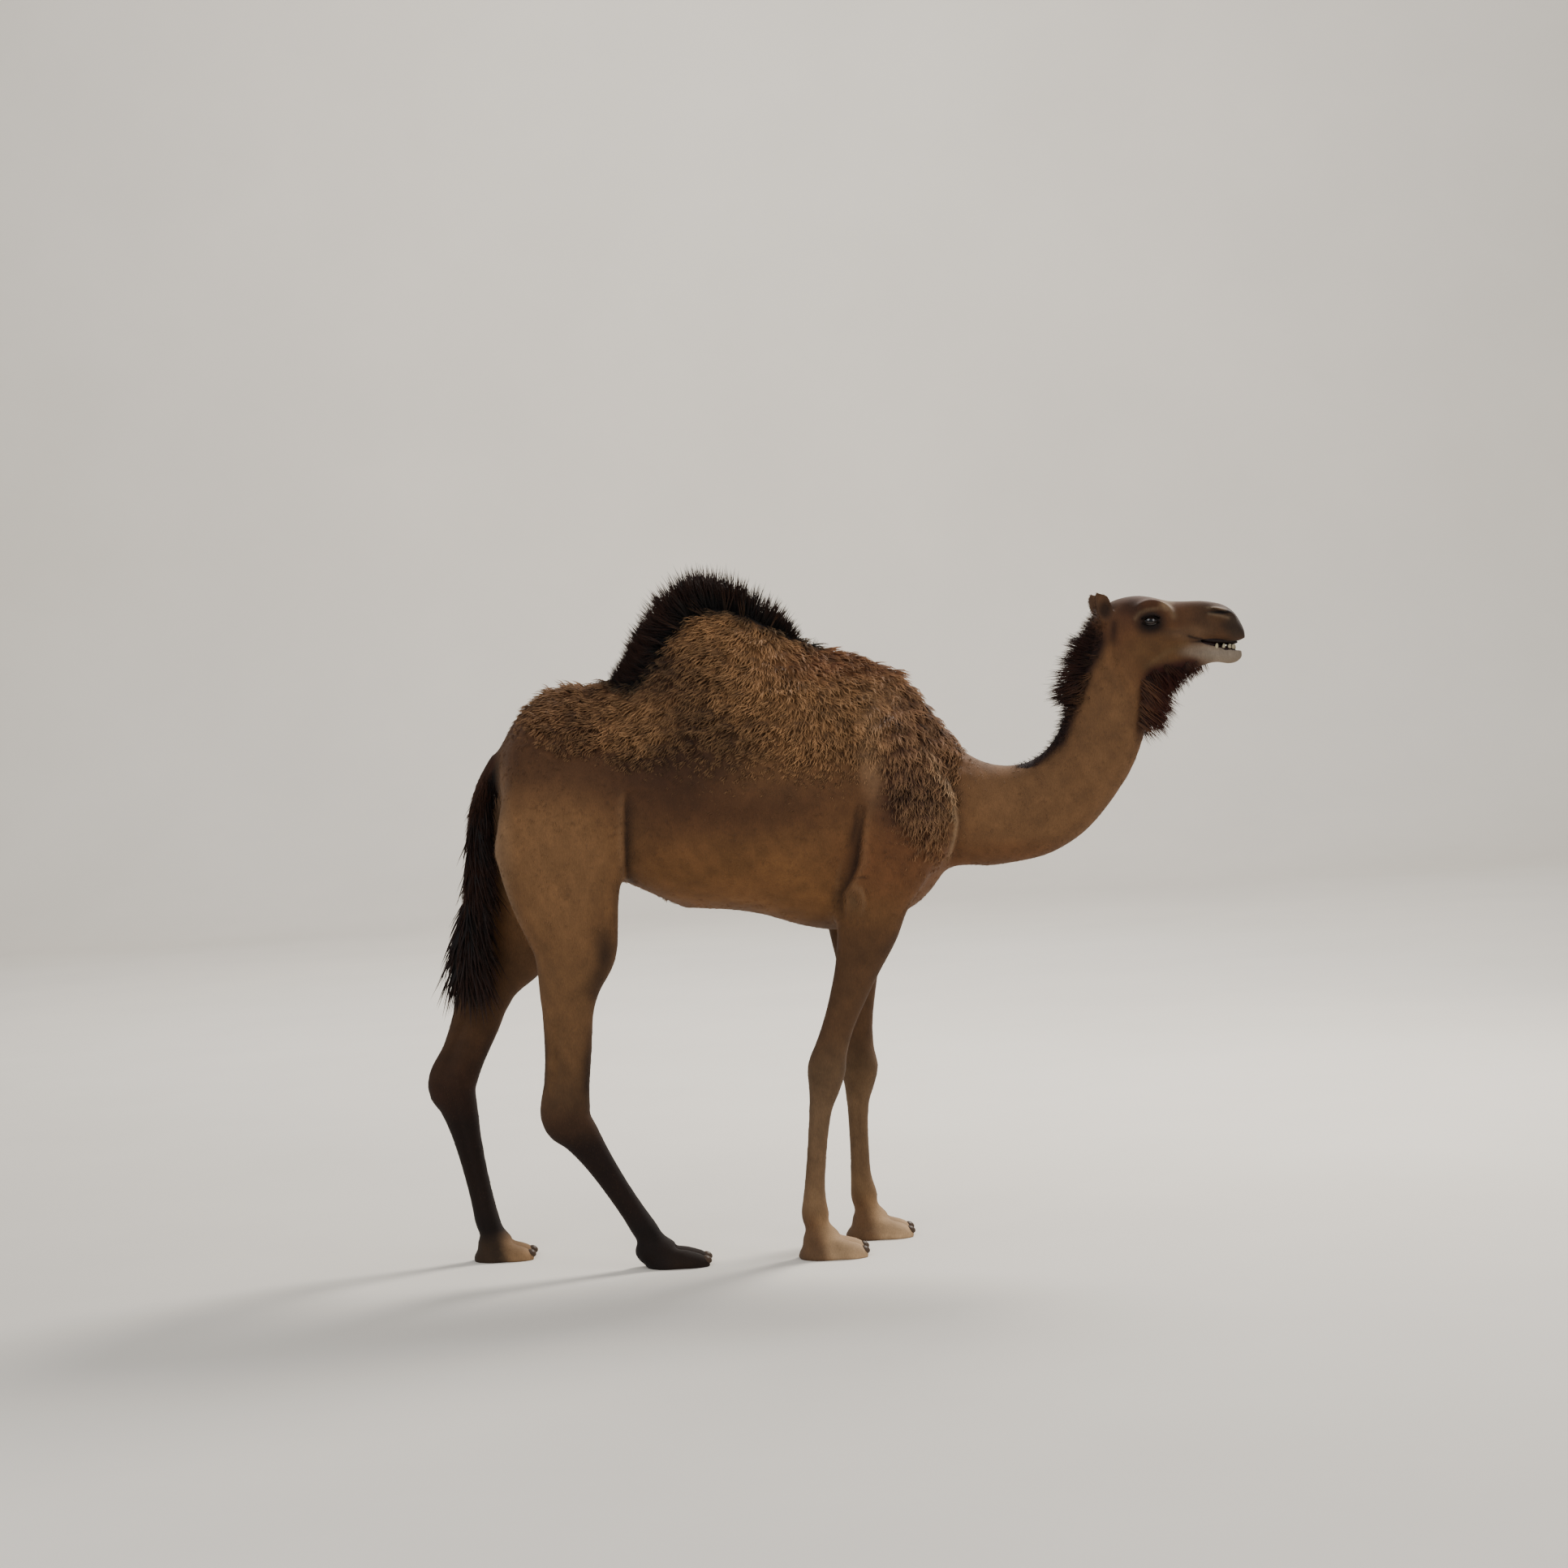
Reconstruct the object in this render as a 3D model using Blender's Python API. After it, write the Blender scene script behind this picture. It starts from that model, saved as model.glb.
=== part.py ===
"""A life-size standing dromedary camel, divided where a person would name its parts.

The body is modelled whole, from tubes and muscles fused by a voxel remesh, and is then parted
with thin cuts. The camel faces +X and its left side is +Y. Lengths are in metres.
"""

import math

import bmesh
import bpy
import numpy as np
from mathutils import Matrix, Vector

RING_SIDES = 28  # points round every tube
SPAN_STEPS = 5  # rings between two stations
CUT = 0.0006  # width of the cuts that part the body
SEAT_GAP = 0.0003  # round an ear, an eye or a nail in its seat
CENTRE_X = 0.128  # middle of the finished length, moved to the origin at the end

BODY_VOXEL, HEAD_VOXEL = 0.0068, 0.0042
BODY_FACES, HEAD_FACES = 3260, 1060
BODY_PASSES, HEAD_PASSES = 110, 18  # smoothing passes
SHARP_EDGE = math.radians(50)  # a bend that is shaded as an edge

# Colour and roughness
COAT = ((0.150, 0.088, 0.045, 1), 0.85)
WOOL = ((0.105, 0.060, 0.032, 1), 0.95)
DARK_HAIR = ((0.020, 0.012, 0.009, 1), 0.90)
DARK_LEG = ((0.050, 0.030, 0.020, 1), 0.85)
PALE_FOOT = ((0.330, 0.235, 0.140, 1), 0.85)
GREY_CHIN = ((0.130, 0.105, 0.085, 1), 0.80)
EYE_BLACK = ((0.012, 0.007, 0.005, 1), 0.08)
HORN = ((0.090, 0.065, 0.045, 1), 0.45)

# Trunk with its hump: x, top, widest height, belly line, half width, how pointed the top is
TRUNK = [
    (-0.826, 1.440, 1.390, 1.335, 0.028, 0.0),
    (-0.812, 1.524, 1.400, 1.250, 0.087, 0.0),
    (-0.764, 1.602, 1.400, 1.170, 0.143, 0.0),
    (-0.694, 1.662, 1.380, 1.130, 0.184, 0.1),
    (-0.610, 1.684, 1.350, 1.120, 0.204, 0.2),
    (-0.530, 1.687, 1.320, 1.110, 0.215, 0.3),
    (-0.470, 1.704, 1.300, 1.092, 0.224, 0.4),
    (-0.410, 1.750, 1.290, 1.060, 0.232, 0.5),
    (-0.364, 1.798, 1.285, 1.036, 0.237, 0.6),
    (-0.312, 1.856, 1.280, 1.016, 0.243, 0.7),
    (-0.245, 1.906, 1.275, 1.002, 0.248, 0.8),
    (-0.165, 1.914, 1.270, 0.994, 0.252, 0.8),
    (-0.076, 1.888, 1.265, 0.974, 0.253, 0.8),
    (0.014, 1.832, 1.260, 0.940, 0.247, 0.7),
    (0.070, 1.794, 1.260, 0.927, 0.239, 0.6),
    (0.140, 1.764, 1.260, 0.922, 0.226, 0.5),
    (0.221, 1.742, 1.260, 0.926, 0.208, 0.5),
    (0.300, 1.704, 1.260, 0.946, 0.186, 0.4),
    (0.365, 1.654, 1.260, 0.976, 0.162, 0.3),
    (0.420, 1.584, 1.250, 1.024, 0.136, 0.1),
    (0.464, 1.484, 1.250, 1.096, 0.103, 0.0),
    (0.490, 1.380, 1.250, 1.166, 0.055, 0.0),
]

# Hair that stands along the hump's ridge, to its tips; the bottom is buried in the hump
CREST = [
    (-0.480, 1.690, 1.680, 1.660, 0.018, 0.0),
    (-0.440, 1.724, 1.700, 1.660, 0.040, 0.3),
    (-0.398, 1.786, 1.730, 1.680, 0.054, 0.5),
    (-0.355, 1.866, 1.790, 1.720, 0.060, 0.6),
    (-0.285, 1.936, 1.850, 1.780, 0.062, 0.6),
    (-0.205, 1.976, 1.870, 1.800, 0.062, 0.7),
    (-0.120, 1.938, 1.850, 1.790, 0.060, 0.6),
    (-0.050, 1.902, 1.820, 1.760, 0.056, 0.5),
    (0.010, 1.858, 1.780, 1.730, 0.050, 0.4),
    (0.055, 1.806, 1.760, 1.720, 0.038, 0.2),
    (0.110, 1.760, 1.740, 1.720, 0.016, 0.0),
]

# Neck: top x, top z, bottom x, bottom z, half width
NECK = [
    (0.220, 1.640, 0.300, 1.060, 0.130),
    (0.360, 1.600, 0.400, 1.072, 0.142),
    (0.465, 1.500, 0.500, 1.082, 0.124),
    (0.530, 1.424, 0.580, 1.078, 0.104),
    (0.600, 1.384, 0.660, 1.084, 0.091),
    (0.680, 1.376, 0.760, 1.103, 0.084),
    (0.745, 1.400, 0.862, 1.158, 0.079),
    (0.790, 1.448, 0.945, 1.242, 0.076),
    (0.822, 1.512, 1.008, 1.330, 0.073),
    (0.848, 1.580, 1.046, 1.412, 0.071),
    (0.868, 1.650, 1.070, 1.500, 0.070),
    (0.892, 1.715, 1.080, 1.580, 0.070),
    (0.932, 1.768, 1.075, 1.650, 0.064),
]

# Hair along the nape and under the throat, to its tips, with the same columns
NAPE_HAIR = [
    (0.700, 1.386, 0.740, 1.330, 0.018),
    (0.748, 1.420, 0.820, 1.360, 0.036),
    (0.784, 1.470, 0.880, 1.410, 0.046),
    (0.786, 1.540, 0.910, 1.490, 0.050),
    (0.808, 1.600, 0.930, 1.560, 0.050),
    (0.834, 1.660, 0.950, 1.620, 0.050),
    (0.856, 1.722, 0.970, 1.670, 0.048),
    (0.898, 1.772, 0.990, 1.700, 0.040),
    (0.945, 1.800, 1.010, 1.730, 0.022),
]
THROAT_HAIR = [
    (0.990, 1.400, 1.046, 1.384, 0.020),
    (0.990, 1.440, 1.094, 1.410, 0.040),
    (0.990, 1.490, 1.128, 1.466, 0.050),
    (0.990, 1.550, 1.142, 1.530, 0.054),
    (1.020, 1.620, 1.176, 1.568, 0.048),
    (1.080, 1.660, 1.210, 1.598, 0.032),
    (1.160, 1.665, 1.236, 1.630, 0.014),
]

# Head above the mouth, then the jaw, with the trunk's columns
SKULL = [
    (0.905, 1.765, 1.735, 1.700, 0.034, 0.0),
    (0.932, 1.800, 1.735, 1.655, 0.056, 0.0),
    (0.970, 1.824, 1.740, 1.620, 0.066, 0.1),
    (1.010, 1.836, 1.750, 1.610, 0.069, 0.1),
    (1.055, 1.839, 1.760, 1.612, 0.069, 0.0),
    (1.098, 1.831, 1.755, 1.625, 0.062, 0.0),
    (1.140, 1.819, 1.750, 1.650, 0.052, 0.1),
    (1.185, 1.816, 1.745, 1.680, 0.044, 0.2),
    (1.235, 1.814, 1.745, 1.690, 0.041, 0.2),
    (1.275, 1.807, 1.742, 1.690, 0.044, 0.2),
    (1.306, 1.795, 1.735, 1.686, 0.047, 0.3),
    (1.332, 1.772, 1.722, 1.682, 0.043, 0.3),
    (1.350, 1.738, 1.710, 1.682, 0.031, 0.2),
    (1.358, 1.714, 1.702, 1.690, 0.014, 0.0),
]
JAW = [
    (0.965, 1.690, 1.650, 1.605, 0.028, 0.0),
    (0.995, 1.705, 1.645, 1.580, 0.048, 0.0),
    (1.045, 1.695, 1.635, 1.576, 0.050, 0.0),
    (1.110, 1.690, 1.640, 1.586, 0.042, 0.0),
    (1.170, 1.696, 1.650, 1.600, 0.036, 0.0),
    (1.222, 1.696, 1.660, 1.620, 0.032, 0.0),
    (1.268, 1.690, 1.660, 1.630, 0.031, 0.0),
    (1.306, 1.685, 1.654, 1.623, 0.032, 0.0),
    (1.332, 1.678, 1.652, 1.628, 0.027, 0.0),
    (1.347, 1.664, 1.652, 1.641, 0.013, 0.0),
]
# The open mouth seen from the side, from its corner along the upper lip and back
MOUTH = [
    (1.212, 1.7030),
    (1.262, 1.6985),
    (1.334, 1.6905),
    (1.400, 1.6840),
    (1.400, 1.6620),
    (1.332, 1.6770),
    (1.262, 1.6925),
]
TOOTH_RADII = (0.0036, 0.0038, 0.0090)
TOOTH_HEIGHT = 1.6745
TEETH = [(1.326, 0.004), (1.323, 0.0115), (1.316, 0.0185)]  # x, y of the incisors on one side

EYE = (1.079, 0.0520, 1.7615)
EYE_RADIUS = 0.0226
EAR_ROOT, EAR_TIP = (0.956, 0.054, 1.778), (0.932, 0.088, 1.852)
EAR_OUTWARD = (0.38, 0.92, 0.05)  # the way its opening faces
EAR_HALF, EAR_THICK, EAR_CUP, EAR_CURL = 0.030, 0.0105, 0.017, 0.012

# Share of the bone's length, depth, width, shift forwards
FOREARM = [
    (-0.30, 0.190, 0.110, 0.000),
    (0.00, 0.204, 0.128, -0.004),
    (0.15, 0.182, 0.122, -0.002),
    (0.32, 0.144, 0.104, 0.000),
    (0.50, 0.120, 0.088, 0.000),
    (0.70, 0.102, 0.078, -0.001),
    (0.88, 0.104, 0.088, 0.000),
]
KNEE = (0.118, 0.098, 0.006)
FORE_CANNON = [
    (0.13, 0.098, 0.084, 0.003),
    (0.27, 0.074, 0.064, -0.003),
    (0.45, 0.066, 0.057, -0.005),
    (0.65, 0.064, 0.057, -0.005),
    (0.85, 0.068, 0.064, -0.004),
]
FORE_FETLOCK = (0.086, 0.080, 0.002)
THIGH = [
    (-0.15, 0.334, 0.150, 0.028),
    (0.10, 0.382, 0.176, 0.002),
    (0.35, 0.382, 0.180, -0.012),
    (0.62, 0.338, 0.170, -0.008),
    (0.85, 0.290, 0.154, 0.002),
]
STIFLE = (0.262, 0.142, 0.002)
GASKIN = [
    (0.18, 0.202, 0.124, -0.010),
    (0.36, 0.162, 0.104, -0.012),
    (0.55, 0.150, 0.090, -0.007),
    (0.78, 0.138, 0.084, -0.006),
]
HOCK = (0.152, 0.090, -0.006)
HIND_CANNON = [
    (0.16, 0.120, 0.080, -0.002),
    (0.36, 0.094, 0.066, 0.000),
    (0.60, 0.080, 0.060, 0.000),
    (0.82, 0.076, 0.061, 0.000),
]
HIND_FETLOCK = (0.080, 0.074, 0.000)

# Elbow, knee, fetlock, and how far the heel lies behind the fetlock
FORE_LEGS = {
    "right": ((0.226, -0.158, 0.955), (0.066, -0.128, 0.537), (0.012, -0.138, 0.126), 0.056),
    "left": ((0.196, 0.158, 0.955), (0.165, 0.128, 0.508), (0.160, 0.138, 0.126), 0.062),
}
# Hip, stifle, hock, fetlock, and the same
HIND_LEGS = {
    "right": (
        (-0.645, -0.135, 1.335),
        (-0.626, -0.165, 0.915),
        (-0.676, -0.128, 0.448),
        (-0.474, -0.138, 0.108),
        0.006,
    ),
    "left": (
        (-0.665, 0.135, 1.335),
        (-0.850, 0.160, 0.905),
        (-1.024, 0.128, 0.528),
        (-0.952, 0.138, 0.116),
        0.052,
    ),
}
# Length, width and height of a foot
FORE_FOOT = (0.206, 0.160, 0.070)
HIND_FOOT = (0.190, 0.142, 0.064)
NAIL_RADII = (0.014, 0.015, 0.012)
NAIL_AHEAD = 0.050  # of the middle of the toe

# Tail: x, y, z, depth, width
TAIL = [
    (-0.760, 0.000, 1.530, 0.090, 0.080),
    (-0.818, 0.000, 1.462, 0.088, 0.074),
    (-0.866, 0.002, 1.385, 0.082, 0.074),
    (-0.890, 0.004, 1.290, 0.086, 0.080),
    (-0.900, 0.006, 1.180, 0.092, 0.088),
    (-0.912, 0.008, 1.060, 0.104, 0.094),
    (-0.928, 0.008, 0.950, 0.120, 0.098),
    (-0.930, 0.008, 0.870, 0.118, 0.094),
    (-0.924, 0.008, 0.790, 0.094, 0.074),
    (-0.912, 0.008, 0.722, 0.034, 0.034),
]

# Muscles and bony points: centre, half length, half width, half height, pitch in degrees
SIDE_FORMS = [
    (0.290, 0.104, 1.380, 0.100, 0.092, 0.205, 14),  # shoulder blade
    (0.380, 0.112, 1.225, 0.088, 0.076, 0.150, -10),  # point of the shoulder
    (0.275, 0.145, 1.140, 0.125, 0.070, 0.165, -20),  # upper arm
    (0.215, 0.165, 1.035, 0.094, 0.056, 0.110, 0),  # above the elbow
    (0.176, 0.190, 1.016, 0.034, 0.024, 0.045, 0),  # elbow pad
    (-0.540, 0.115, 1.530, 0.110, 0.060, 0.075, 0),  # hip bone
    (-0.670, 0.098, 1.460, 0.130, 0.100, 0.140, 0),  # rump
    (-0.775, 0.075, 1.390, 0.048, 0.045, 0.080, 0),  # seat bone
    (-0.610, 0.145, 1.320, 0.165, 0.085, 0.180, 0),  # upper thigh
]
MIDDLE_FORMS = [
    (0.130, 0.0, 0.944, 0.080, 0.056, 0.028, 0),  # chest pad
    (-0.306, 0.0, 1.012, 0.026, 0.020, 0.017, 0),  # navel
]
HEAD_FORMS = [
    (1.086, 0.046, 1.800, 0.054, 0.026, 0.019, 3),  # brow
    (1.128, 0.042, 1.778, 0.022, 0.020, 0.026, 24),  # front of the eye socket
    (1.036, 0.048, 1.770, 0.022, 0.022, 0.030, -10),  # back of the eye socket
    (1.092, 0.046, 1.722, 0.070, 0.020, 0.018, 8),  # cheek bone
    (1.026, 0.036, 1.668, 0.060, 0.028, 0.064, 12),  # jaw muscle
    (1.150, 0.026, 1.700, 0.090, 0.018, 0.026, 4),  # cheek
    (1.292, 0.026, 1.766, 0.042, 0.018, 0.022, 16),  # nostril
    (1.316, 0.017, 1.712, 0.038, 0.025, 0.026, 8),  # half of the upper lip
]
CHIN = (1.304, 0.0, 1.651, 0.038, 0.031, 0.026, 0)
EYE_HOLLOW = (1.080, 0.082, 1.764, 0.034, 0.020, 0.021, 4)

# Cuts in the side view: start, end, and the span across the body
HEAD_CUT = ((0.600, 2.225), (1.400, 1.079))
CUTS = [
    ((-0.560, 1.684), (0.240, 1.762), -0.4, 0.4),  # hump
    ((0.440, 1.660), (0.516, 1.020), -0.4, 0.4),  # neck
    ((0.020, 0.904), (0.440, 0.912), -0.4, -0.066),  # right foreleg
    ((0.020, 0.904), (0.440, 0.912), 0.066, 0.4),  # left foreleg
    ((-0.796, 1.620), (-0.846, 1.240), -0.1, 0.1),  # tail
    ((-1.010, 1.060), (-0.800, 1.060), -0.1, 0.1),  # tail hair
]
THIGH_CUT = ((-0.400, 1.045), (-0.905, 1.470))
THIGH_INNER = 0.052  # inner edge of the thigh cut, from the middle plane
JAW_CUT = ((1.220, 1.7045), (1.176, 1.540))


def clear_scene():
    for item in list(bpy.data.objects):
        bpy.data.objects.remove(item)


def through(rows, steps=SPAN_STEPS):
    """Rows of numbers joined by a Catmull-Rom spline, with steps rows to a span."""
    rows = np.array(rows, float)
    padded = np.vstack([2 * rows[0] - rows[1], rows, 2 * rows[-1] - rows[-2]])
    dense = []
    for i in range(len(rows) - 1):
        a, b, c, d = padded[i : i + 4]
        for t in np.arange(steps) / steps:
            bend = (2 * a - 5 * b + 4 * c - d) * t**2 + (3 * b - a - 3 * c + d) * t**3
            dense.append(0.5 * (2 * b + (c - a) * t + bend))
    dense.append(rows[-1])
    return dense


def turn_angles(sides=RING_SIDES):
    return [2 * math.pi * k / sides for k in range(sides)]


def skin_rings(rings):
    """A closed mesh over a list of rings, capped at both ends."""
    bm = bmesh.new()
    loops = [[bm.verts.new(p) for p in ring] for ring in rings]
    for low, high in zip(loops, loops[1:]):
        for k in range(len(low)):
            n = (k + 1) % len(low)
            bm.faces.new((low[k], low[n], high[n], high[k]))
    bm.faces.new(loops[0][::-1])
    bm.faces.new(loops[-1])
    bmesh.ops.recalc_face_normals(bm, faces=bm.faces)
    return finish_mesh(bm)


def finish_mesh(bm):
    mesh = bpy.data.meshes.new("form")
    bm.to_mesh(mesh)
    bm.free()
    return mesh


def barrel(stations):
    """Upright rings along X: round below the widest height, round to pointed above it."""
    rings = []
    for x, top, wide, bottom, half, point in through(stations):
        ring = []
        for a in turn_angles():
            c, s = math.cos(a), math.sin(a)
            rise = top - wide if s > 0 else wide - bottom
            swell = abs(c) ** (1 + point) if s > 0 else abs(c) ** 0.9
            ring.append(Vector((x, math.copysign(half * swell, c), wide + rise * s)))
        rings.append(ring)
    return skin_rings(rings)


def slanted(stations):
    """Rings that each span a top and a bottom point."""
    rings = []
    for top_x, top_z, bottom_x, bottom_z, half in through(stations):
        top, bottom = Vector((top_x, 0, top_z)), Vector((bottom_x, 0, bottom_z))
        middle, arm = (top + bottom) / 2, (top - bottom) / 2
        rings.append([
            middle + arm * math.sin(a) + Vector((0, half * math.cos(a), 0)) for a in turn_angles()
        ])
    return skin_rings(rings)


def side_forward(along):
    """The direction square to a bone in the side view, towards the nose for a bone that hangs."""
    return Vector((-along[2], 0, along[0])).normalized()


def limb(stations):
    """Rings square to a path, from rows of x, y, z, depth and width."""
    rows = through(stations)
    rings = []
    for i, row in enumerate(rows):
        ahead = Vector(rows[min(i + 1, len(rows) - 1)][:3]) - Vector(rows[max(i - 1, 0)][:3])
        forward, centre = side_forward(ahead), Vector(row[:3])
        depth, width = row[3] / 2, row[4] / 2
        rings.append([
            centre + forward * depth * math.sin(a) + Vector((0, width * math.cos(a), 0))
            for a in turn_angles()
        ])
    return skin_rings(rings)


def bone_rows(start, end, sections):
    """Stations along one bone, each shifted forwards by its own amount."""
    start, along = Vector(start), Vector(end) - Vector(start)
    forward = side_forward(along)
    return [
        (*(start + along * share + forward * shift), depth, width)
        for share, depth, width, shift in sections
    ]


def joint_row(point, section, along):
    depth, width, shift = section
    return (*(Vector(point) + side_forward(along) * shift), depth, width)


def fore_leg(elbow, knee, fetlock, _):
    down = Vector((0, 0, -1))
    x, y, z = fetlock
    rows = bone_rows(elbow, knee, FOREARM) + [joint_row(knee, KNEE, down)]
    rows += bone_rows(knee, fetlock, FORE_CANNON) + [joint_row(fetlock, FORE_FETLOCK, down)]
    rows.append((x + 0.006, y, z - 0.036, 0.074, 0.070))
    rows.append((x + 0.026, y, z - 0.084, 0.112, 0.104))
    return limb(rows)


def hind_leg(hip, stifle, hock, fetlock, heel):
    bend = Vector(fetlock) - Vector(stifle)
    x, y, z = fetlock
    rows = bone_rows(hip, stifle, THIGH) + [joint_row(stifle, STIFLE, Vector((0, 0, -1)))]
    rows += bone_rows(stifle, hock, GASKIN) + [joint_row(hock, HOCK, bend)]
    rows += bone_rows(hock, fetlock, HIND_CANNON) + [joint_row(fetlock, HIND_FETLOCK, bend)]
    rows.append((x + 0.022 - heel * 0.2, y, z - 0.034, 0.076, 0.066))
    rows.append((x + 0.052 - heel * 0.5, y, z - 0.072, 0.108, 0.094))
    return limb(rows)


def ellipsoid(centre, radii, pitch=0.0, detail=4):
    bm = bmesh.new()
    turn = Matrix.Rotation(math.radians(pitch), 4, "Y")
    shape = Matrix.Translation(centre) @ turn @ Matrix.Diagonal((*radii, 1))
    bmesh.ops.create_icosphere(bm, subdivisions=detail, radius=1, matrix=shape)
    return finish_mesh(bm)


def form(row, side=1):
    x, y, z, along, across, up, pitch = row
    return ellipsoid((x, y * side, z), (along, across, up), pitch)


def toe_middles(joints, foot):
    """The middle of each of a foot's two toes, inner and outer."""
    x, y, _ = joints[-2]
    length, width, _ = foot
    return [(x - joints[-1] + length - 0.060, y + s * width * 0.235) for s in (-1, 1)]


def foot_forms(joints, foot):
    """The heel pad and two toes, sunk a little so that the sole can be cut flat."""
    x, y, _ = joints[-2]
    length, width, height = foot
    heel = x - joints[-1]
    forms = [
        ellipsoid((heel + length * 0.42, y, 0.008), (length * 0.42, width * 0.47, height * 0.58)),
        ellipsoid((x + 0.016, y, 0.044), (length * 0.28, width * 0.34, height * 0.66), 14),
    ]
    for toe_x, toe_y in toe_middles(joints, foot):
        pad, knuckle = (0.062, width * 0.24, height * 0.54), (0.050, width * 0.18, height * 0.42)
        forms.append(ellipsoid((toe_x, toe_y, 0.012), pad, 7))
        forms.append(ellipsoid((toe_x - 0.014, toe_y, 0.026), knuckle, 16))
    return forms


def nail(toe_x, toe_y, foot):
    return ellipsoid((toe_x + NAIL_AHEAD, toe_y, foot[2] * 0.30), NAIL_RADII, 24, 2)


def ear(side):
    """A short rounded ear, hollow on its outer face."""
    root, tip = Vector(EAR_ROOT), Vector(EAR_TIP)
    up = (tip - root).normalized()
    outward = Vector(EAR_OUTWARD)
    outward = (outward - up * outward.dot(up)).normalized()
    across = up.cross(outward)
    rings = []
    for t in np.linspace(-0.15, 1.0, 9):
        closing = max(0.0, t * 2 - 1) ** 3
        swell = (0.80 + 0.20 * min(1.0, max(t, 0) * 3)) * math.sqrt(1.05 - closing)
        half, thick = EAR_HALF * swell, EAR_THICK * swell
        ring = []
        for a in turn_angles(16):
            c, s = math.cos(a), math.sin(a)
            hollow = EAR_CUP * swell * s * s * min(1.0, max(t, 0) * 4) if s > 0 else 0
            lift = thick * s + EAR_CURL * c * c * swell - hollow
            point = root + up * (tip - root).length * t + across * half * c + outward * lift
            ring.append(Vector((point.x, point.y * side, point.z)))
        rings.append(ring)
    return skin_rings(rings)


def prism(outline, low_y, high_y):
    """A block with an outline in the side view, from one y to another."""
    bm = bmesh.new()
    face = bm.faces.new([bm.verts.new((x, low_y, z)) for x, z in outline])
    raised = bmesh.ops.extrude_face_region(bm, geom=[face])["geom"]
    moved = [v for v in raised if isinstance(v, bmesh.types.BMVert)]
    bmesh.ops.translate(bm, verts=moved, vec=(0, high_y - low_y, 0))
    bmesh.ops.recalc_face_normals(bm, faces=bm.faces)
    return finish_mesh(bm)


def line_normal(start, end):
    dx, dz = end[0] - start[0], end[1] - start[1]
    size = math.hypot(dx, dz)
    return -dz / size, dx / size


def strip(start, end, low, high):
    """The outline of a strip along a line, between two offsets to its left."""
    nx, nz = line_normal(start, end)
    return [
        (start[0] + nx * low, start[1] + nz * low),
        (end[0] + nx * low, end[1] + nz * low),
        (end[0] + nx * high, end[1] + nz * high),
        (start[0] + nx * high, start[1] + nz * high),
    ]


def place(name, mesh):
    item = bpy.data.objects.new(name, mesh)
    bpy.context.scene.collection.objects.link(item)
    return item


def settle(item):
    """Makes the object's modifiers real."""
    bpy.context.view_layer.update()
    graph = bpy.context.evaluated_depsgraph_get()
    mesh = bpy.data.meshes.new_from_object(item.evaluated_get(graph))
    item.modifiers.clear()
    item.data = mesh
    return item


def combine(item, mesh, operation="DIFFERENCE"):
    cutter = place("cutter", mesh)
    cutter.hide_render = True
    cutter.display_type = "WIRE"
    boolean = item.modifiers.new("cut", "BOOLEAN")
    boolean.operation, boolean.solver, boolean.object = operation, "EXACT", cutter
    settle(item)
    bpy.data.objects.remove(cutter)
    return item


def grown(mesh, gap):
    """The mesh moved out along its normals by a small gap."""
    bigger = mesh.copy()
    for vertex, source in zip(bigger.vertices, mesh.vertices):
        vertex.co = source.co + source.normal * gap
    return bigger


def fuse(name, meshes, voxel):
    """Overlapping closed meshes made one skin by a voxel remesh."""
    bm = bmesh.new()
    for mesh in meshes:
        bm.from_mesh(mesh)
    item = place(name, finish_mesh(bm))
    remesh = item.modifiers.new("skin", "REMESH")
    remesh.mode = "VOXEL"
    remesh.voxel_size = voxel
    return settle(item)


def soften(item, passes, weight):
    """Smooths the skin by an amount, in tenths, that depends on the place on the body."""
    levels = {}
    for vertex in item.data.vertices:
        levels.setdefault(round(weight(vertex.co) * 10) / 10, []).append(vertex.index)
    group = item.vertex_groups.new(name="soft")
    for level, members in levels.items():
        group.add(members, level, "REPLACE")
    smooth = item.modifiers.new("soften", "SMOOTH")
    smooth.factor, smooth.iterations, smooth.vertex_group = 0.5, passes, "soft"
    settle(item)
    item.vertex_groups.clear()
    return item


def thin_out(item, faces):
    """Fewer, larger triangles, with the outline kept."""
    item.data.calc_loop_triangles()
    fewer = item.modifiers.new("fewer", "DECIMATE")
    fewer.ratio = faces / len(item.data.loop_triangles)
    return settle(item)


def body_weight(co):
    """Full softening on the trunk, little on the hair, the tail and the lower legs."""
    if co.x < -0.84 or co.z < 0.60:
        return 0.1
    if co.x > 0.50 or co.z > 1.86:
        return 0.1
    if co.x > 0.45:
        return 0.5
    return min(1.0, (co.z - 0.50) / 0.50)


def head_weight(co):
    """Less softening on the lips than on the cheeks."""
    return 0.4 if co.x > 1.20 else 0.9


def neck_and_head_hair():
    return [slanted(NECK), slanted(NAPE_HAIR), slanted(THROAT_HAIR)]


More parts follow.
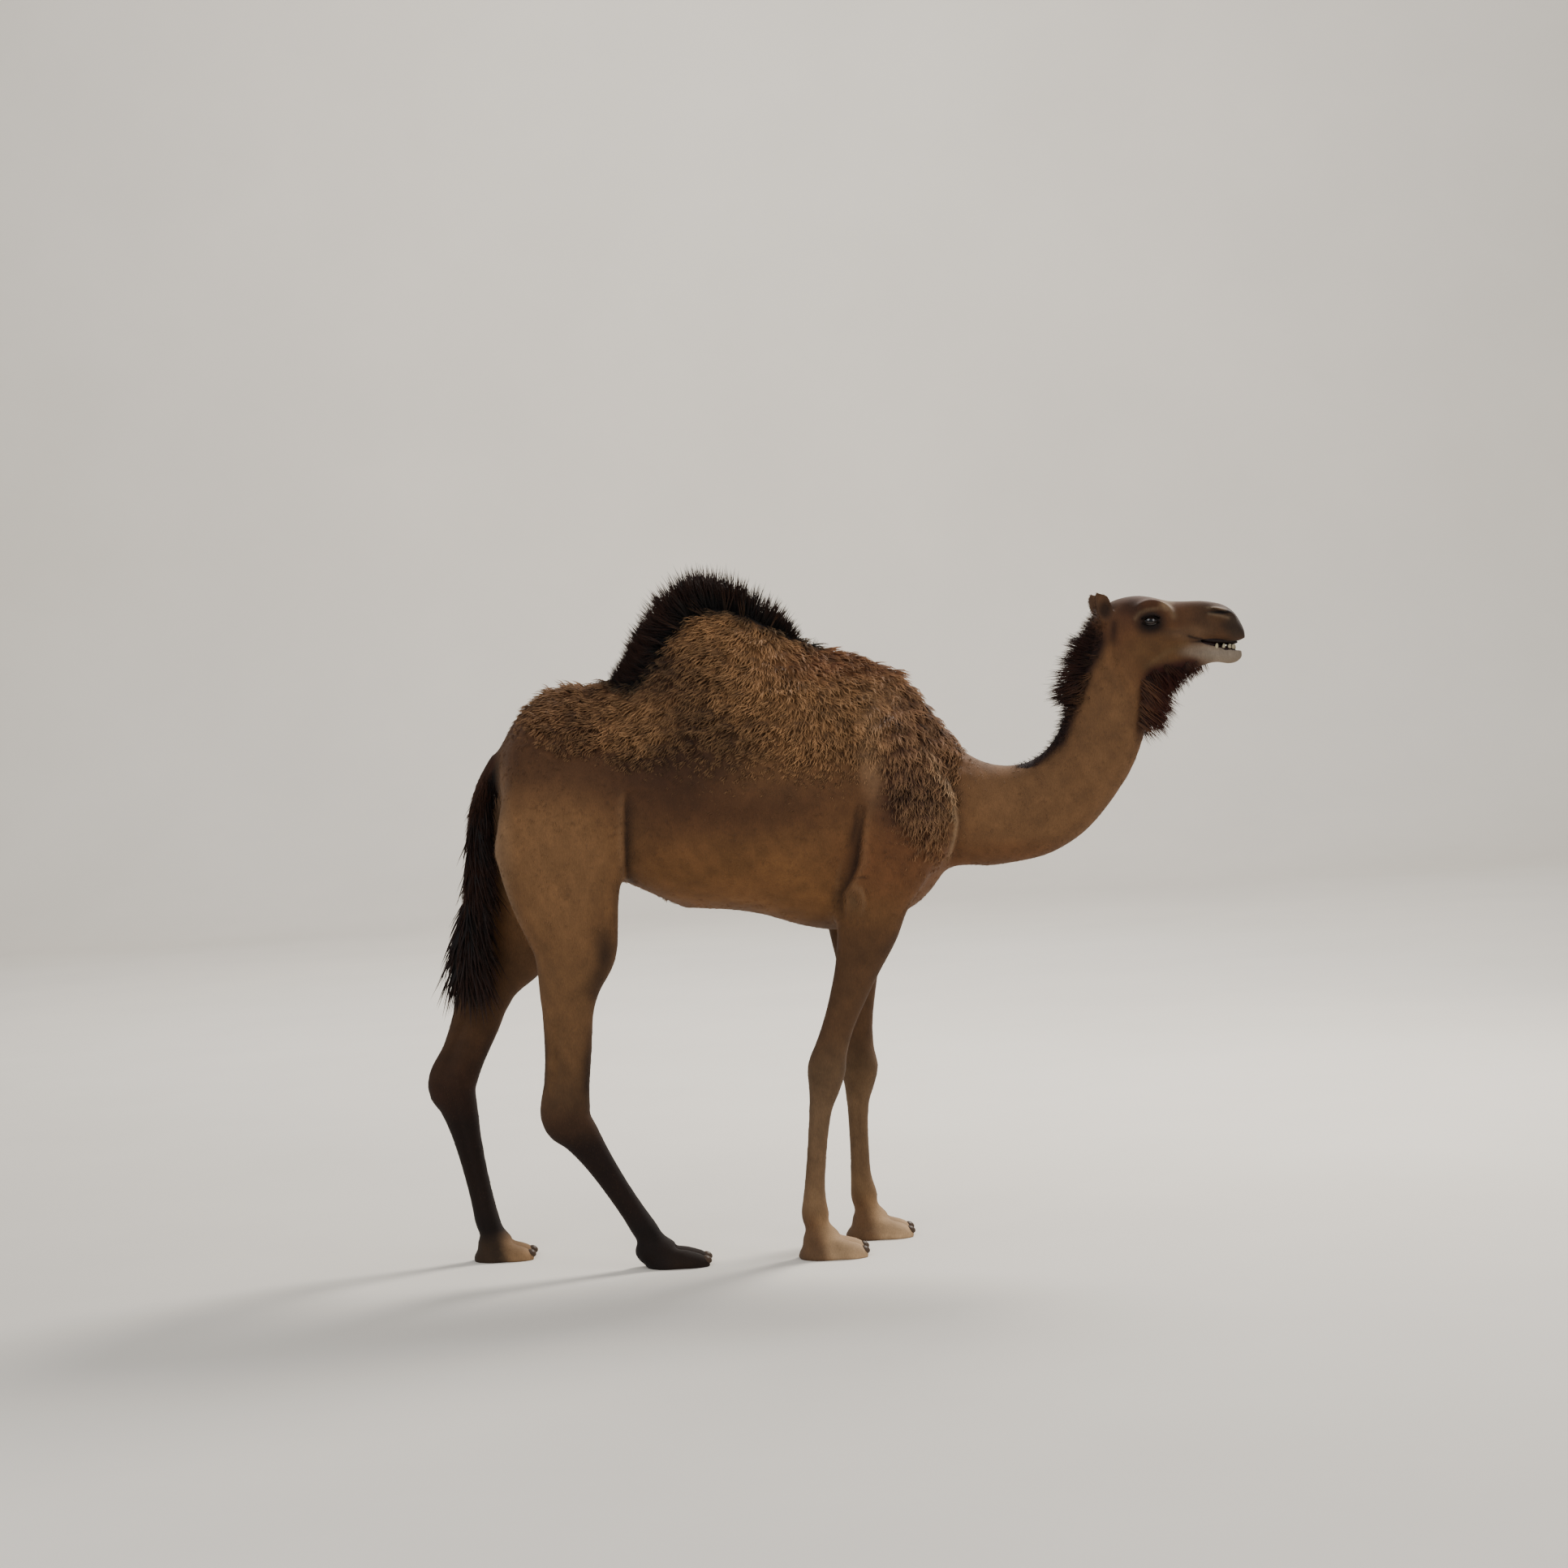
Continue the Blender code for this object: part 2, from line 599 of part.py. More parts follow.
def build_body():
    meshes = [barrel(TRUNK), barrel(CREST), limb(TAIL), *neck_and_head_hair()]
    meshes += [form(row) for row in MIDDLE_FORMS]
    for side in (-1, 1):
        meshes += [form(row, side) for row in SIDE_FORMS]
    for legs, shape, foot in ((FORE_LEGS, fore_leg, FORE_FOOT), (HIND_LEGS, hind_leg, HIND_FOOT)):
        for joints in legs.values():
            meshes += [shape(*joints), *foot_forms(joints, foot)]
    body = fuse("body", meshes, BODY_VOXEL)
    soften(body, BODY_PASSES, body_weight)
    thin_out(body, BODY_FACES)
    combine(body, prism(strip(*HEAD_CUT, -CUT / 2, 2.0), -0.5, 0.5))
    combine(body, prism([(-2, -1), (2, -1), (2, 0), (-2, 0)], -1, 1))
    for start, end, low, high in CUTS + leg_cuts():
        combine(body, prism(strip(start, end, -CUT / 2, CUT / 2), low, high))
    return body


def square_cut(point, along, reach=0.16):
    """A cut square to a limb in the side view, across one leg."""
    x, y, z = point
    forward = side_forward(along) * reach
    low, high = (0.03, 0.4) if y > 0 else (-0.4, -0.03)
    return (x - forward.x, z - forward.z), (x + forward.x, z + forward.z), low, high


def leg_cuts():
    cuts = []
    for elbow, knee, fetlock, _ in FORE_LEGS.values():
        cuts.append(square_cut(knee, Vector(fetlock) - Vector(elbow), 0.12))
        cuts.append(square_cut(fetlock, Vector((0.2, 0, -1)), 0.07))
    for hip, stifle, hock, fetlock, _ in HIND_LEGS.values():
        knee = Vector(stifle) + (Vector(hock) - Vector(stifle)) * 0.12
        cuts.append(square_cut(knee, Vector(hock) - Vector(hip), 0.20))
        cuts.append(square_cut(hock, Vector(fetlock) - Vector(stifle), 0.13))
        cuts.append(square_cut(fetlock, Vector(fetlock) - Vector(hock), 0.09))
    return cuts


def part_thighs(body):
    """Frees each thigh along a line from the flank to the tail, and along its inner side."""
    (low_x, low_z), (high_x, high_z) = THIGH_CUT
    below = [(low_x, low_z), (low_x, 0.9), (high_x, 0.9), (high_x, high_z)]
    for side in (-1, 1):
        inner, outer = sorted((side * THIGH_INNER, side * 0.4))
        combine(body, prism(strip(*THIGH_CUT, -CUT / 2, CUT / 2), inner, outer))
        inner, outer = sorted((side * THIGH_INNER, side * (THIGH_INNER + CUT)))
        combine(body, prism(below, inner, outer))


def build_head():
    meshes = [barrel(SKULL), barrel(JAW), form(CHIN), *neck_and_head_hair()]
    for side in (-1, 1):
        meshes += [form(row, side) for row in HEAD_FORMS]
    head = fuse("head", meshes, HEAD_VOXEL)
    for side in (-1, 1):
        combine(head, form(EYE_HOLLOW, side))
    soften(head, HEAD_PASSES, head_weight)
    combine(head, prism(strip(*HEAD_CUT, -2.0, -0.01), -0.5, 0.5))
    thin_out(head, HEAD_FACES)
    combine(head, prism(strip(*HEAD_CUT, -2.0, CUT / 2), -0.5, 0.5))
    combine(head, prism(MOUTH, -0.1, 0.1))
    combine(head, prism(strip(*JAW_CUT, -CUT / 2, CUT / 2), -0.1, 0.1))
    return head


def islands(item):
    """The separate closed pieces of an object, as lists of faces."""
    bm = bmesh.new()
    bm.from_mesh(item.data)
    left = set(bm.faces)
    groups = []
    while left:
        seed = left.pop()
        group, edge = [seed], [seed]
        while edge:
            face = edge.pop()
            for near in (f for e in face.edges for f in e.link_faces):
                if near in left:
                    left.discard(near)
                    group.append(near)
                    edge.append(near)
        groups.append(group)
    return bm, groups


def pieces(item):
    """Splits an object into one object for each closed piece."""
    bm, groups = islands(item)
    made = []
    for group in groups:
        part = bmesh.new()
        copies = {}
        for face in group:
            for vertex in face.verts:
                if vertex not in copies:
                    copies[vertex] = part.verts.new(vertex.co)
            part.faces.new([copies[v] for v in face.verts])
        made.append(place("piece", finish_mesh(part)))
    bm.free()
    bpy.data.objects.remove(item)
    return made


# A point on each piece of the body and of the head, by which the cut pieces are told apart
BODY_NODES = {
    "trunk": (0.0, 0.0, 0.98, COAT),
    "hump": (-0.16, 0.0, 1.95, WOOL),
    "neck": (0.72, 0.0, 1.10, COAT),
    "tail": (-0.93, 0.0, 1.30, DARK_HAIR),
    "tail_tuft": (-0.95, 0.0, 0.85, DARK_HAIR),
}
HEAD_NODES = {
    "head": (1.05, 0.0, 1.84, COAT),
    "lower_jaw": (1.33, 0.0, 1.63, GREY_CHIN),
}


def name_nodes(made, points):
    """Gives each wanted node the piece with a vertex nearest to its point."""
    named = {}
    for name, (x, y, z, look) in points.items():
        seed = Vector((x, y, z))
        best = min(made, key=lambda item: min((v.co - seed).length for v in item.data.vertices))
        made.remove(best)
        best.name = name
        named[name] = best
        paint(best, look)
    for item in made:
        bpy.data.objects.remove(item)
    return named


def paint(item, look):
    colour, roughness = look
    material = bpy.data.materials.new(item.name)
    material.use_nodes = True
    shader = material.node_tree.nodes["Principled BSDF"]
    shader.inputs["Base Color"].default_value = colour
    shader.inputs["Roughness"].default_value = roughness
    item.data.materials.clear()
    item.data.materials.append(material)
    item.data.shade_smooth()
    item.data.set_sharp_from_angle(angle=SHARP_EDGE)


def leg_points():
    points = {}
    for side, (elbow, knee, fetlock, _) in FORE_LEGS.items():
        points["forearm_" + side] = (*(Vector(elbow) * 0.4 + Vector(knee) * 0.6), COAT)
        points["fore_cannon_" + side] = (*(Vector(knee) * 0.5 + Vector(fetlock) * 0.5), COAT)
        points["fore_foot_" + side] = (fetlock[0] + 0.03, fetlock[1], 0.0, PALE_FOOT)
    for side, (hip, stifle, hock, fetlock, _) in HIND_LEGS.items():
        points["thigh_" + side] = (*(Vector(hip) * 0.4 + Vector(stifle) * 0.6), COAT)
        points["gaskin_" + side] = (*(Vector(stifle) * 0.4 + Vector(hock) * 0.6), COAT)
        points["hind_cannon_" + side] = (*(Vector(hock) * 0.5 + Vector(fetlock) * 0.5), DARK_LEG)
        look = DARK_LEG if side == "right" else PALE_FOOT
        points["hind_foot_" + side] = (fetlock[0] + 0.03, fetlock[1], 0.0, look)
    return points


def seat(flesh, name, mesh, look):
    """Adds a piece and cuts a seat for it into the flesh."""
    combine(flesh, grown(mesh, SEAT_GAP))
    paint(place(name, mesh), look)


def add_nails(parts, word):
    """Two nails on each foot of one side, the inner one first."""
    for legs, foot, end in ((FORE_LEGS, FORE_FOOT, "fore"), (HIND_LEGS, HIND_FOOT, "hind")):
        toes = sorted(toe_middles(legs[word], foot), key=lambda toe: abs(toe[1]))
        for row, (toe_x, toe_y) in zip(("inner", "outer"), toes):
            name = "_".join((end, "nail", word, row))
            seat(parts[end + "_foot_" + word], name, nail(toe_x, toe_y, foot), HORN)


def centre_all():
    for item in bpy.data.objects:
        item.data.transform(Matrix.Translation((-CENTRE_X, 0, 0)))


def main():
    clear_scene()
    body = build_body()
    part_thighs(body)
    parts = name_nodes(pieces(body), {**BODY_NODES, **leg_points()})
    parts.update(name_nodes(pieces(build_head()), HEAD_NODES))
    for x, y in TEETH:
        for side in (-1, 1):
            tooth = ellipsoid((x, y * side, TOOTH_HEIGHT), TOOTH_RADII, 0, 1)
            combine(parts["lower_jaw"], tooth, "UNION")
    paint(parts["lower_jaw"], GREY_CHIN)
    for side, word in ((-1, "right"), (1, "left")):
        seat(parts["head"], "ear_" + word, ear(side), DARK_HAIR)
        eye = ellipsoid((EYE[0], EYE[1] * side, EYE[2]), (EYE_RADIUS,) * 3, 0, 2)
        seat(parts["head"], "eye_" + word, eye, EYE_BLACK)
        add_nails(parts, word)
    centre_all()


main()
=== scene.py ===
import math

import bmesh
import bpy
import numpy as np
from mathutils import Matrix, Vector


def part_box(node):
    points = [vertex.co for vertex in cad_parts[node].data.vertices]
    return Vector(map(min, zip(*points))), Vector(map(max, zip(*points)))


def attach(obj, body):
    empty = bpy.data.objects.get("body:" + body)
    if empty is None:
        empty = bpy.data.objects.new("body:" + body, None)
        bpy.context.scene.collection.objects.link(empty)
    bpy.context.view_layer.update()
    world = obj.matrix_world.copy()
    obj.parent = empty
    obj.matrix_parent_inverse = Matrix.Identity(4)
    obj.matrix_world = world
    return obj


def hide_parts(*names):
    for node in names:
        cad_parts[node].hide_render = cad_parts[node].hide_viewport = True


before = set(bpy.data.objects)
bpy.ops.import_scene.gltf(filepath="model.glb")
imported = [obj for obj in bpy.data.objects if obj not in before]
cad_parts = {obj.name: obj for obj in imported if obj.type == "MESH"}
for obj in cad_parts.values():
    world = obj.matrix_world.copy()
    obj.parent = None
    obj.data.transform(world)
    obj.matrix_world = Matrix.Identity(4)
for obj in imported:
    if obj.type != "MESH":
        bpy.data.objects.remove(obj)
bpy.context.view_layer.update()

# The camel's shapes are given from the middle of its back, along X to the nose, Y to its left, Z up.
# shift carries them to the frame, by way of the right eye.
eyePlace = (1.079, 0.0520, 1.7615)
eyeLow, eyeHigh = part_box("eye_right")
shift = (eyeLow.x + eyeHigh.x) / 2 - eyePlace[0]

shapeDetail = {"ringSides": 28, "spanSteps": 5, "earSides": 24, "earRings": 17}
sides = ((-1, "right"), (1, "left"))


def report(words):
    print("camel:", words, flush=True)


# shapes: tubes, muscles and how they are joined

def through(rows, steps=shapeDetail["spanSteps"]):  # a smooth curve through rows of numbers
    rows = np.array(rows, float)
    padded = np.vstack([2 * rows[0] - rows[1], rows, 2 * rows[-1] - rows[-2]])
    dense = []
    for i in range(len(rows) - 1):
        a, b, c, d = padded[i : i + 4]
        for t in np.arange(steps) / steps:
            bend = (2 * a - 5 * b + 4 * c - d) * t**2 + (3 * b - a - 3 * c + d) * t**3
            dense.append(0.5 * (2 * b + (c - a) * t + bend))
    dense.append(rows[-1])
    return dense


def turnAngles(sides=shapeDetail["ringSides"]):
    return [2 * math.pi * k / sides for k in range(sides)]


def finishMesh(bm):
    mesh = bpy.data.meshes.new("form")
    bm.to_mesh(mesh)
    bm.free()
    return mesh


def skinRings(rings):
    bm = bmesh.new()
    loops = [[bm.verts.new(p) for p in ring] for ring in rings]
    for low, high in zip(loops, loops[1:]):
        for k in range(len(low)):
            n = (k + 1) % len(low)
            bm.faces.new((low[k], low[n], high[n], high[k]))
    bm.faces.new(loops[0][::-1])
    bm.faces.new(loops[-1])
    bmesh.ops.recalc_face_normals(bm, faces=bm.faces)
    return finishMesh(bm)


def barrel(stations):  # upright rings along X, round below, round to pointed above
    rings = []
    for x, top, wide, bottom, half, point in through(stations):
        ring = []
        for a in turnAngles():
            c, s = math.cos(a), math.sin(a)
            rise = top - wide if s > 0 else wide - bottom
            swell = abs(c) ** (1 + point) if s > 0 else abs(c) ** 0.9
            ring.append(Vector((x, math.copysign(half * swell, c), wide + rise * s)))
        rings.append(ring)
    return skinRings(rings)


def slanted(stations):  # rings that each span a top and a bottom point
    rings = []
    for topX, topZ, bottomX, bottomZ, half in through(stations):
        top, bottom = Vector((topX, 0, topZ)), Vector((bottomX, 0, bottomZ))
        middle, arm = (top + bottom) / 2, (top - bottom) / 2
        rings.append([
            middle + arm * math.sin(a) + Vector((0, half * math.cos(a), 0)) for a in turnAngles()
        ])
    return skinRings(rings)


def sideForward(along):  # square to a bone in the side view, towards the nose
    return Vector((-along[2], 0, along[0])).normalized()


def limb(stations):  # rings square to a path of x, y, z, depth, width
    rows = through(stations)
    rings = []
    for i, row in enumerate(rows):
        ahead = Vector(rows[min(i + 1, len(rows) - 1)][:3]) - Vector(rows[max(i - 1, 0)][:3])
        forward, centre = sideForward(ahead), Vector(row[:3])
        depth, width = row[3] / 2, row[4] / 2
        rings.append([
            centre + forward * depth * math.sin(a) + Vector((0, width * math.cos(a), 0))
            for a in turnAngles()
        ])
    return skinRings(rings)


def boneRows(start, end, sections):
    start, along = Vector(start), Vector(end) - Vector(start)
    forward = sideForward(along)
    return [
        (*(start + along * share + forward * ahead), depth, width)
        for share, depth, width, ahead in sections
    ]


def jointRow(point, section, along):
    depth, width, ahead = section
    return (*(Vector(point) + sideForward(along) * ahead), depth, width)


def ellipsoid(centre, radii, pitch=0.0, detail=4, yaw=0.0):
    bm = bmesh.new()
    turn = Matrix.Rotation(math.radians(yaw), 4, "Z") @ Matrix.Rotation(math.radians(pitch), 4, "Y")
    shape = Matrix.Translation(centre) @ turn @ Matrix.Diagonal((*radii, 1))
    bmesh.ops.create_icosphere(bm, subdivisions=detail, radius=1, matrix=shape)
    return finishMesh(bm)


def form(row, side=1):  # centre, half sizes, pitch, and for some a yaw
    x, y, z, along, across, up, pitch = row[:7]
    yaw = row[7] * side if len(row) > 7 else 0.0
    return ellipsoid((x, y * side, z), (along, across, up), pitch, yaw=yaw)


def prism(outline, lowY, highY):
    bm = bmesh.new()
    face = bm.faces.new([bm.verts.new((x, lowY, z)) for x, z in outline])
    raised = bmesh.ops.extrude_face_region(bm, geom=[face])["geom"]
    moved = [v for v in raised if isinstance(v, bmesh.types.BMVert)]
    bmesh.ops.translate(bm, verts=moved, vec=(0, highY - lowY, 0))
    bmesh.ops.recalc_face_normals(bm, faces=bm.faces)
    return finishMesh(bm)


def place(name, mesh):
    item = bpy.data.objects.new(name, mesh)
    bpy.context.scene.collection.objects.link(item)
    return item


def settle(item):  # makes the object's modifiers real
    bpy.context.view_layer.update()
    graph = bpy.context.evaluated_depsgraph_get()
    mesh = bpy.data.meshes.new_from_object(item.evaluated_get(graph))
    item.modifiers.clear()
    item.data = mesh
    return item


def joined(meshes):
    bm = bmesh.new()
    for mesh in meshes:
        bm.from_mesh(mesh)
    return finishMesh(bm)


def fuse(item, meshes, voxel):  # overlapping closed meshes made one skin
    item.data = joined(meshes)
    remesh = item.modifiers.new("skin", "REMESH")
    remesh.mode = "VOXEL"
    remesh.voxel_size = voxel
    return settle(item)


def carve(item, meshes):
    cutter = place("cutter", joined(meshes))
    boolean = item.modifiers.new("cut", "BOOLEAN")
    boolean.operation, boolean.solver, boolean.object = "DIFFERENCE", "EXACT", cutter
    settle(item)
    bpy.data.objects.remove(cutter)
    return item


def thinOut(item, triangles):
    item.data.calc_loop_triangles()
    fewer = item.modifiers.new("fewer", "DECIMATE")
    fewer.ratio = min(1.0, triangles / len(item.data.loop_triangles))
    return settle(item)


def vertexPlaces(mesh):
    places = np.empty(len(mesh.vertices) * 3)
    mesh.vertices.foreach_get("co", places)
    return places.reshape(-1, 3)


def vertexNormals(mesh):
    normals = np.empty(len(mesh.vertices) * 3)
    mesh.vertex_normals.foreach_get("vector", normals)
    return normals.reshape(-1, 3)


def setPlaces(mesh, places):
    mesh.vertices.foreach_set("co", places.ravel())
    mesh.update()


def edgeEnds(mesh):
    ends = np.empty(len(mesh.edges) * 2, np.int64)
    mesh.edges.foreach_get("vertices", ends)
    return ends.reshape(-1, 2)


def relax(mesh, values, passes, amount):  # evens out values over the mesh; amount may vary by vertex
    ends = edgeEnds(mesh)
    count = np.bincount(ends.ravel(), minlength=len(values))[:, None].clip(1)
    amount = np.asarray(amount, float).reshape(-1, 1) if np.ndim(amount) else amount
    values = values.copy()
    for _ in range(passes):
        total = np.zeros_like(values)
        for axis in range(values.shape[1]):
            total[:, axis] = np.bincount(ends[:, 0], values[ends[:, 1], axis], len(values))
            total[:, axis] += np.bincount(ends[:, 1], values[ends[:, 0], axis], len(values))
        values += (total / count - values) * amount
    return values


def smooth(item, passes, amount):
    setPlaces(item.data, relax(item.data, vertexPlaces(item.data), passes, amount))


def ramp(values, low, high):  # 0 below low, 1 above high, smooth between
    t = np.clip((values - low) / (high - low), 0, 1)
    return t * t * (3 - 2 * t)


def bell(distance, width):  # 1 at no distance, about a third at the width
    return np.exp(-((distance / width) ** 2))


def fadeEnds(share, first, last, power):  # 1 halfway along a line, less towards its ends
    return np.sin(np.pi * np.clip(share, first, last)) ** power


def pathDistance(places, path):  # distance to a line of the side view, and how far along it
    places, path = places[:, [0, 2]], np.array(path, float)
    nearest = np.full(len(places), 1e9)
    share = np.zeros(len(places))
    for i in range(len(path) - 1):
        along = path[i + 1] - path[i]
        t = np.clip((places - path[i]) @ along / (along @ along), 0, 1)
        distance = np.linalg.norm(places - path[i] - t[:, None] * along, axis=1)
        closer = distance < nearest
        nearest = np.where(closer, distance, nearest)
        share = np.where(closer, (i + t) / (len(path) - 1), share)
    return nearest, share


# the whole body under its coat

bodyShape = {
    "voxel": 0.0062,
    "triangles": 112000,
    "softPasses": 138,
    # trunk with its hump: x, top, widest height, belly line, half width, how pointed the top is
    "trunk": [
        (-0.826, 1.440, 1.390, 1.335, 0.028, 0.0),
        (-0.812, 1.524, 1.400, 1.250, 0.087, 0.0),
        (-0.764, 1.602, 1.400, 1.170, 0.143, 0.0),
        (-0.694, 1.662, 1.380, 1.130, 0.184, 0.1),
        (-0.610, 1.684, 1.350, 1.120, 0.204, 0.2),
        (-0.530, 1.687, 1.320, 1.110, 0.215, 0.3),
        (-0.470, 1.704, 1.300, 1.092, 0.224, 0.4),
        (-0.410, 1.750, 1.290, 1.060, 0.232, 0.5),
        (-0.364, 1.798, 1.285, 1.036, 0.237, 0.6),
        (-0.312, 1.856, 1.280, 1.016, 0.243, 0.7),
        (-0.245, 1.906, 1.275, 1.002, 0.248, 0.8),
        (-0.165, 1.914, 1.270, 0.994, 0.252, 0.8),
        (-0.076, 1.888, 1.265, 0.974, 0.253, 0.8),
        (0.014, 1.832, 1.260, 0.940, 0.247, 0.7),
        (0.070, 1.794, 1.260, 0.927, 0.239, 0.6),
        (0.140, 1.764, 1.260, 0.922, 0.226, 0.5),
        (0.221, 1.742, 1.260, 0.926, 0.208, 0.5),
        (0.300, 1.704, 1.260, 0.946, 0.186, 0.4),
        (0.365, 1.654, 1.260, 0.976, 0.162, 0.3),
        (0.420, 1.584, 1.250, 1.024, 0.136, 0.1),
        (0.464, 1.484, 1.250, 1.096, 0.103, 0.0),
        (0.490, 1.380, 1.250, 1.166, 0.055, 0.0),
    ],
    # neck: top x, top z, bottom x, bottom z, half width
    "neck": [
        (0.220, 1.640, 0.300, 1.060, 0.130),
        (0.360, 1.600, 0.400, 1.072, 0.142),
        (0.465, 1.500, 0.500, 1.082, 0.124),
        (0.530, 1.424, 0.580, 1.078, 0.104),
        (0.600, 1.384, 0.660, 1.084, 0.091),
        (0.680, 1.376, 0.760, 1.103, 0.084),
        (0.745, 1.400, 0.862, 1.158, 0.079),
        (0.790, 1.448, 0.945, 1.242, 0.076),
        (0.822, 1.512, 1.008, 1.330, 0.073),
        (0.848, 1.580, 1.046, 1.412, 0.071),
        (0.868, 1.650, 1.070, 1.500, 0.070),
        (0.892, 1.715, 1.080, 1.580, 0.070),
        (0.932, 1.768, 1.075, 1.650, 0.064),
    ],
    # dock of the tail: x, y, z, depth, width
    "dock": [
        (-0.760, 0.000, 1.530, 0.080, 0.070),
        (-0.822, 0.000, 1.462, 0.074, 0.060),
        (-0.874, 0.002, 1.385, 0.060, 0.050),
        (-0.902, 0.004, 1.290, 0.052, 0.046),
        (-0.914, 0.006, 1.180, 0.046, 0.042),
        (-0.930, 0.008, 1.060, 0.040, 0.038),
        (-0.946, 0.008, 0.950, 0.034, 0.032),
        (-0.950, 0.008, 0.880, 0.020, 0.020),
    ],
    # muscles and bony points: centre, half length, half width, half height, pitch in degrees
    "sideForms": [
        (0.290, 0.104, 1.380, 0.100, 0.092, 0.205, 14),  # shoulder blade
        (0.380, 0.112, 1.225, 0.088, 0.076, 0.150, -10),  # point of the shoulder
        (0.275, 0.145, 1.140, 0.125, 0.070, 0.165, -20),  # upper arm
        (0.215, 0.165, 1.035, 0.094, 0.056, 0.110, 0),  # above the elbow
        (-0.540, 0.115, 1.530, 0.110, 0.060, 0.075, 0),  # hip bone
        (-0.670, 0.098, 1.460, 0.130, 0.100, 0.140, 0),  # rump
        (-0.775, 0.075, 1.390, 0.048, 0.045, 0.080, 0),  # seat bone
        (-0.610, 0.145, 1.320, 0.165, 0.085, 0.180, 0),  # upper thigh
    ],
    "elbowPad": (0.176, 0.190, 1.016, 0.034, 0.028, 0.045, 0),
    "middleForms": [
        (0.130, 0.0, 0.944, 0.080, 0.056, 0.028, 0),  # chest pad
        (-0.306, 0.0, 1.012, 0.024, 0.020, 0.018, 0),  # navel
    ],
}

legShape = {
    # share of the bone's length, depth, width, shift forwards
    "forearm": [
        (-0.30, 0.190, 0.110, 0.000),
        (0.00, 0.204, 0.128, -0.004),
        (0.15, 0.182, 0.122, -0.002),
        (0.32, 0.144, 0.104, 0.000),
        (0.50, 0.120, 0.088, 0.000),
        (0.70, 0.102, 0.078, -0.001),
        (0.88, 0.104, 0.088, 0.000),
    ],
    "knee": (0.118, 0.098, 0.006),
    "foreCannon": [
        (0.13, 0.098, 0.084, 0.003),
        (0.27, 0.074, 0.064, -0.003),
        (0.45, 0.066, 0.057, -0.005),
        (0.65, 0.064, 0.057, -0.005),
        (0.85, 0.068, 0.064, -0.004),
    ],
    "foreFetlock": (0.086, 0.080, 0.002),
    # below a fetlock: ahead of it, share of the heel taken off that, drop, depth, width
    "foreAnkle": [(0.006, 0.0, 0.036, 0.074, 0.070), (0.026, 0.0, 0.084, 0.112, 0.104)],
    "thigh": [
        (-0.15, 0.334, 0.150, 0.028),
        (0.10, 0.382, 0.176, 0.002),
        (0.35, 0.382, 0.180, -0.012),
        (0.62, 0.338, 0.170, -0.008),
        (0.85, 0.290, 0.154, 0.002),
    ],
    "stifle": (0.262, 0.142, 0.002),
    "gaskin": [
        (0.18, 0.202, 0.124, -0.010),
        (0.36, 0.162, 0.104, -0.012),
        (0.55, 0.150, 0.090, -0.007),
        (0.78, 0.138, 0.084, -0.006),
    ],
    "hock": (0.152, 0.090, -0.006),
    "hindCannon": [
        (0.16, 0.120, 0.080, -0.002),
        (0.36, 0.094, 0.066, 0.000),
        (0.60, 0.080, 0.060, 0.000),
        (0.82, 0.076, 0.061, 0.000),
    ],
    "hindFetlock": (0.080, 0.074, 0.000),
    "hindAnkle": [(0.022, 0.2, 0.034, 0.076, 0.066), (0.052, 0.5, 0.072, 0.108, 0.094)],
    # along X and up from the hock, then its half sizes and pitch
    "hockPoint": {
        "right": (-0.050, -0.004), "left": (-0.049, -0.022),
        "radii": (0.026, 0.028, 0.040), "pitch": 14,
    },
    # elbow, knee, fetlock, and how far the heel lies behind the fetlock
    "fore": {
        "right": ((0.226, -0.158, 0.955), (0.066, -0.128, 0.537), (0.012, -0.138, 0.126), 0.056),
        "left": ((0.196, 0.158, 0.955), (0.165, 0.128, 0.508), (0.160, 0.138, 0.126), 0.062),
    },
    # hip, stifle, hock, fetlock, and the same
    "hind": {
        "right": (
            (-0.645, -0.135, 1.335),
            (-0.626, -0.165, 0.915),
            (-0.676, -0.128, 0.448),
            (-0.474, -0.138, 0.108),
            0.006,
        ),
        "left": (
            (-0.665, 0.135, 1.335),
            (-0.850, 0.160, 0.905),
            (-1.024, 0.128, 0.528),
            (-0.952, 0.138, 0.116),
            0.052,
        ),
    },
    # length, width and height of a foot
    "foreFoot": (0.206, 0.160, 0.070),
    "hindFoot": (0.190, 0.142, 0.064),
}


down = Vector((0, 0, -1))


def ankleRows(fetlock, heel, sections):
    x, y, z = fetlock
    return [
        (x + ahead - heel * share, y, z - drop, depth, width)
        for ahead, share, drop, depth, width in sections
    ]


def foreLeg(joints):
    elbow, knee, fetlock, heel = joints
    rows = boneRows(elbow, knee, legShape["forearm"]) + [jointRow(knee, legShape["knee"], down)]
    rows += boneRows(knee, fetlock, legShape["foreCannon"])
    rows += [jointRow(fetlock, legShape["foreFetlock"], down)]
    return limb(rows + ankleRows(fetlock, heel, legShape["foreAnkle"]))


def hindLeg(joints):
    hip, stifle, hock, fetlock, heel = joints
    bend = Vector(fetlock) - Vector(stifle)
    rows = boneRows(hip, stifle, legShape["thigh"])
    rows += [jointRow(stifle, legShape["stifle"], down)]
    rows += boneRows(stifle, hock, legShape["gaskin"]) + [jointRow(hock, legShape["hock"], bend)]
    rows += boneRows(hock, fetlock, legShape["hindCannon"])
    rows += [jointRow(fetlock, legShape["hindFetlock"], bend)]
    return limb(rows + ankleRows(fetlock, heel, legShape["hindAnkle"]))


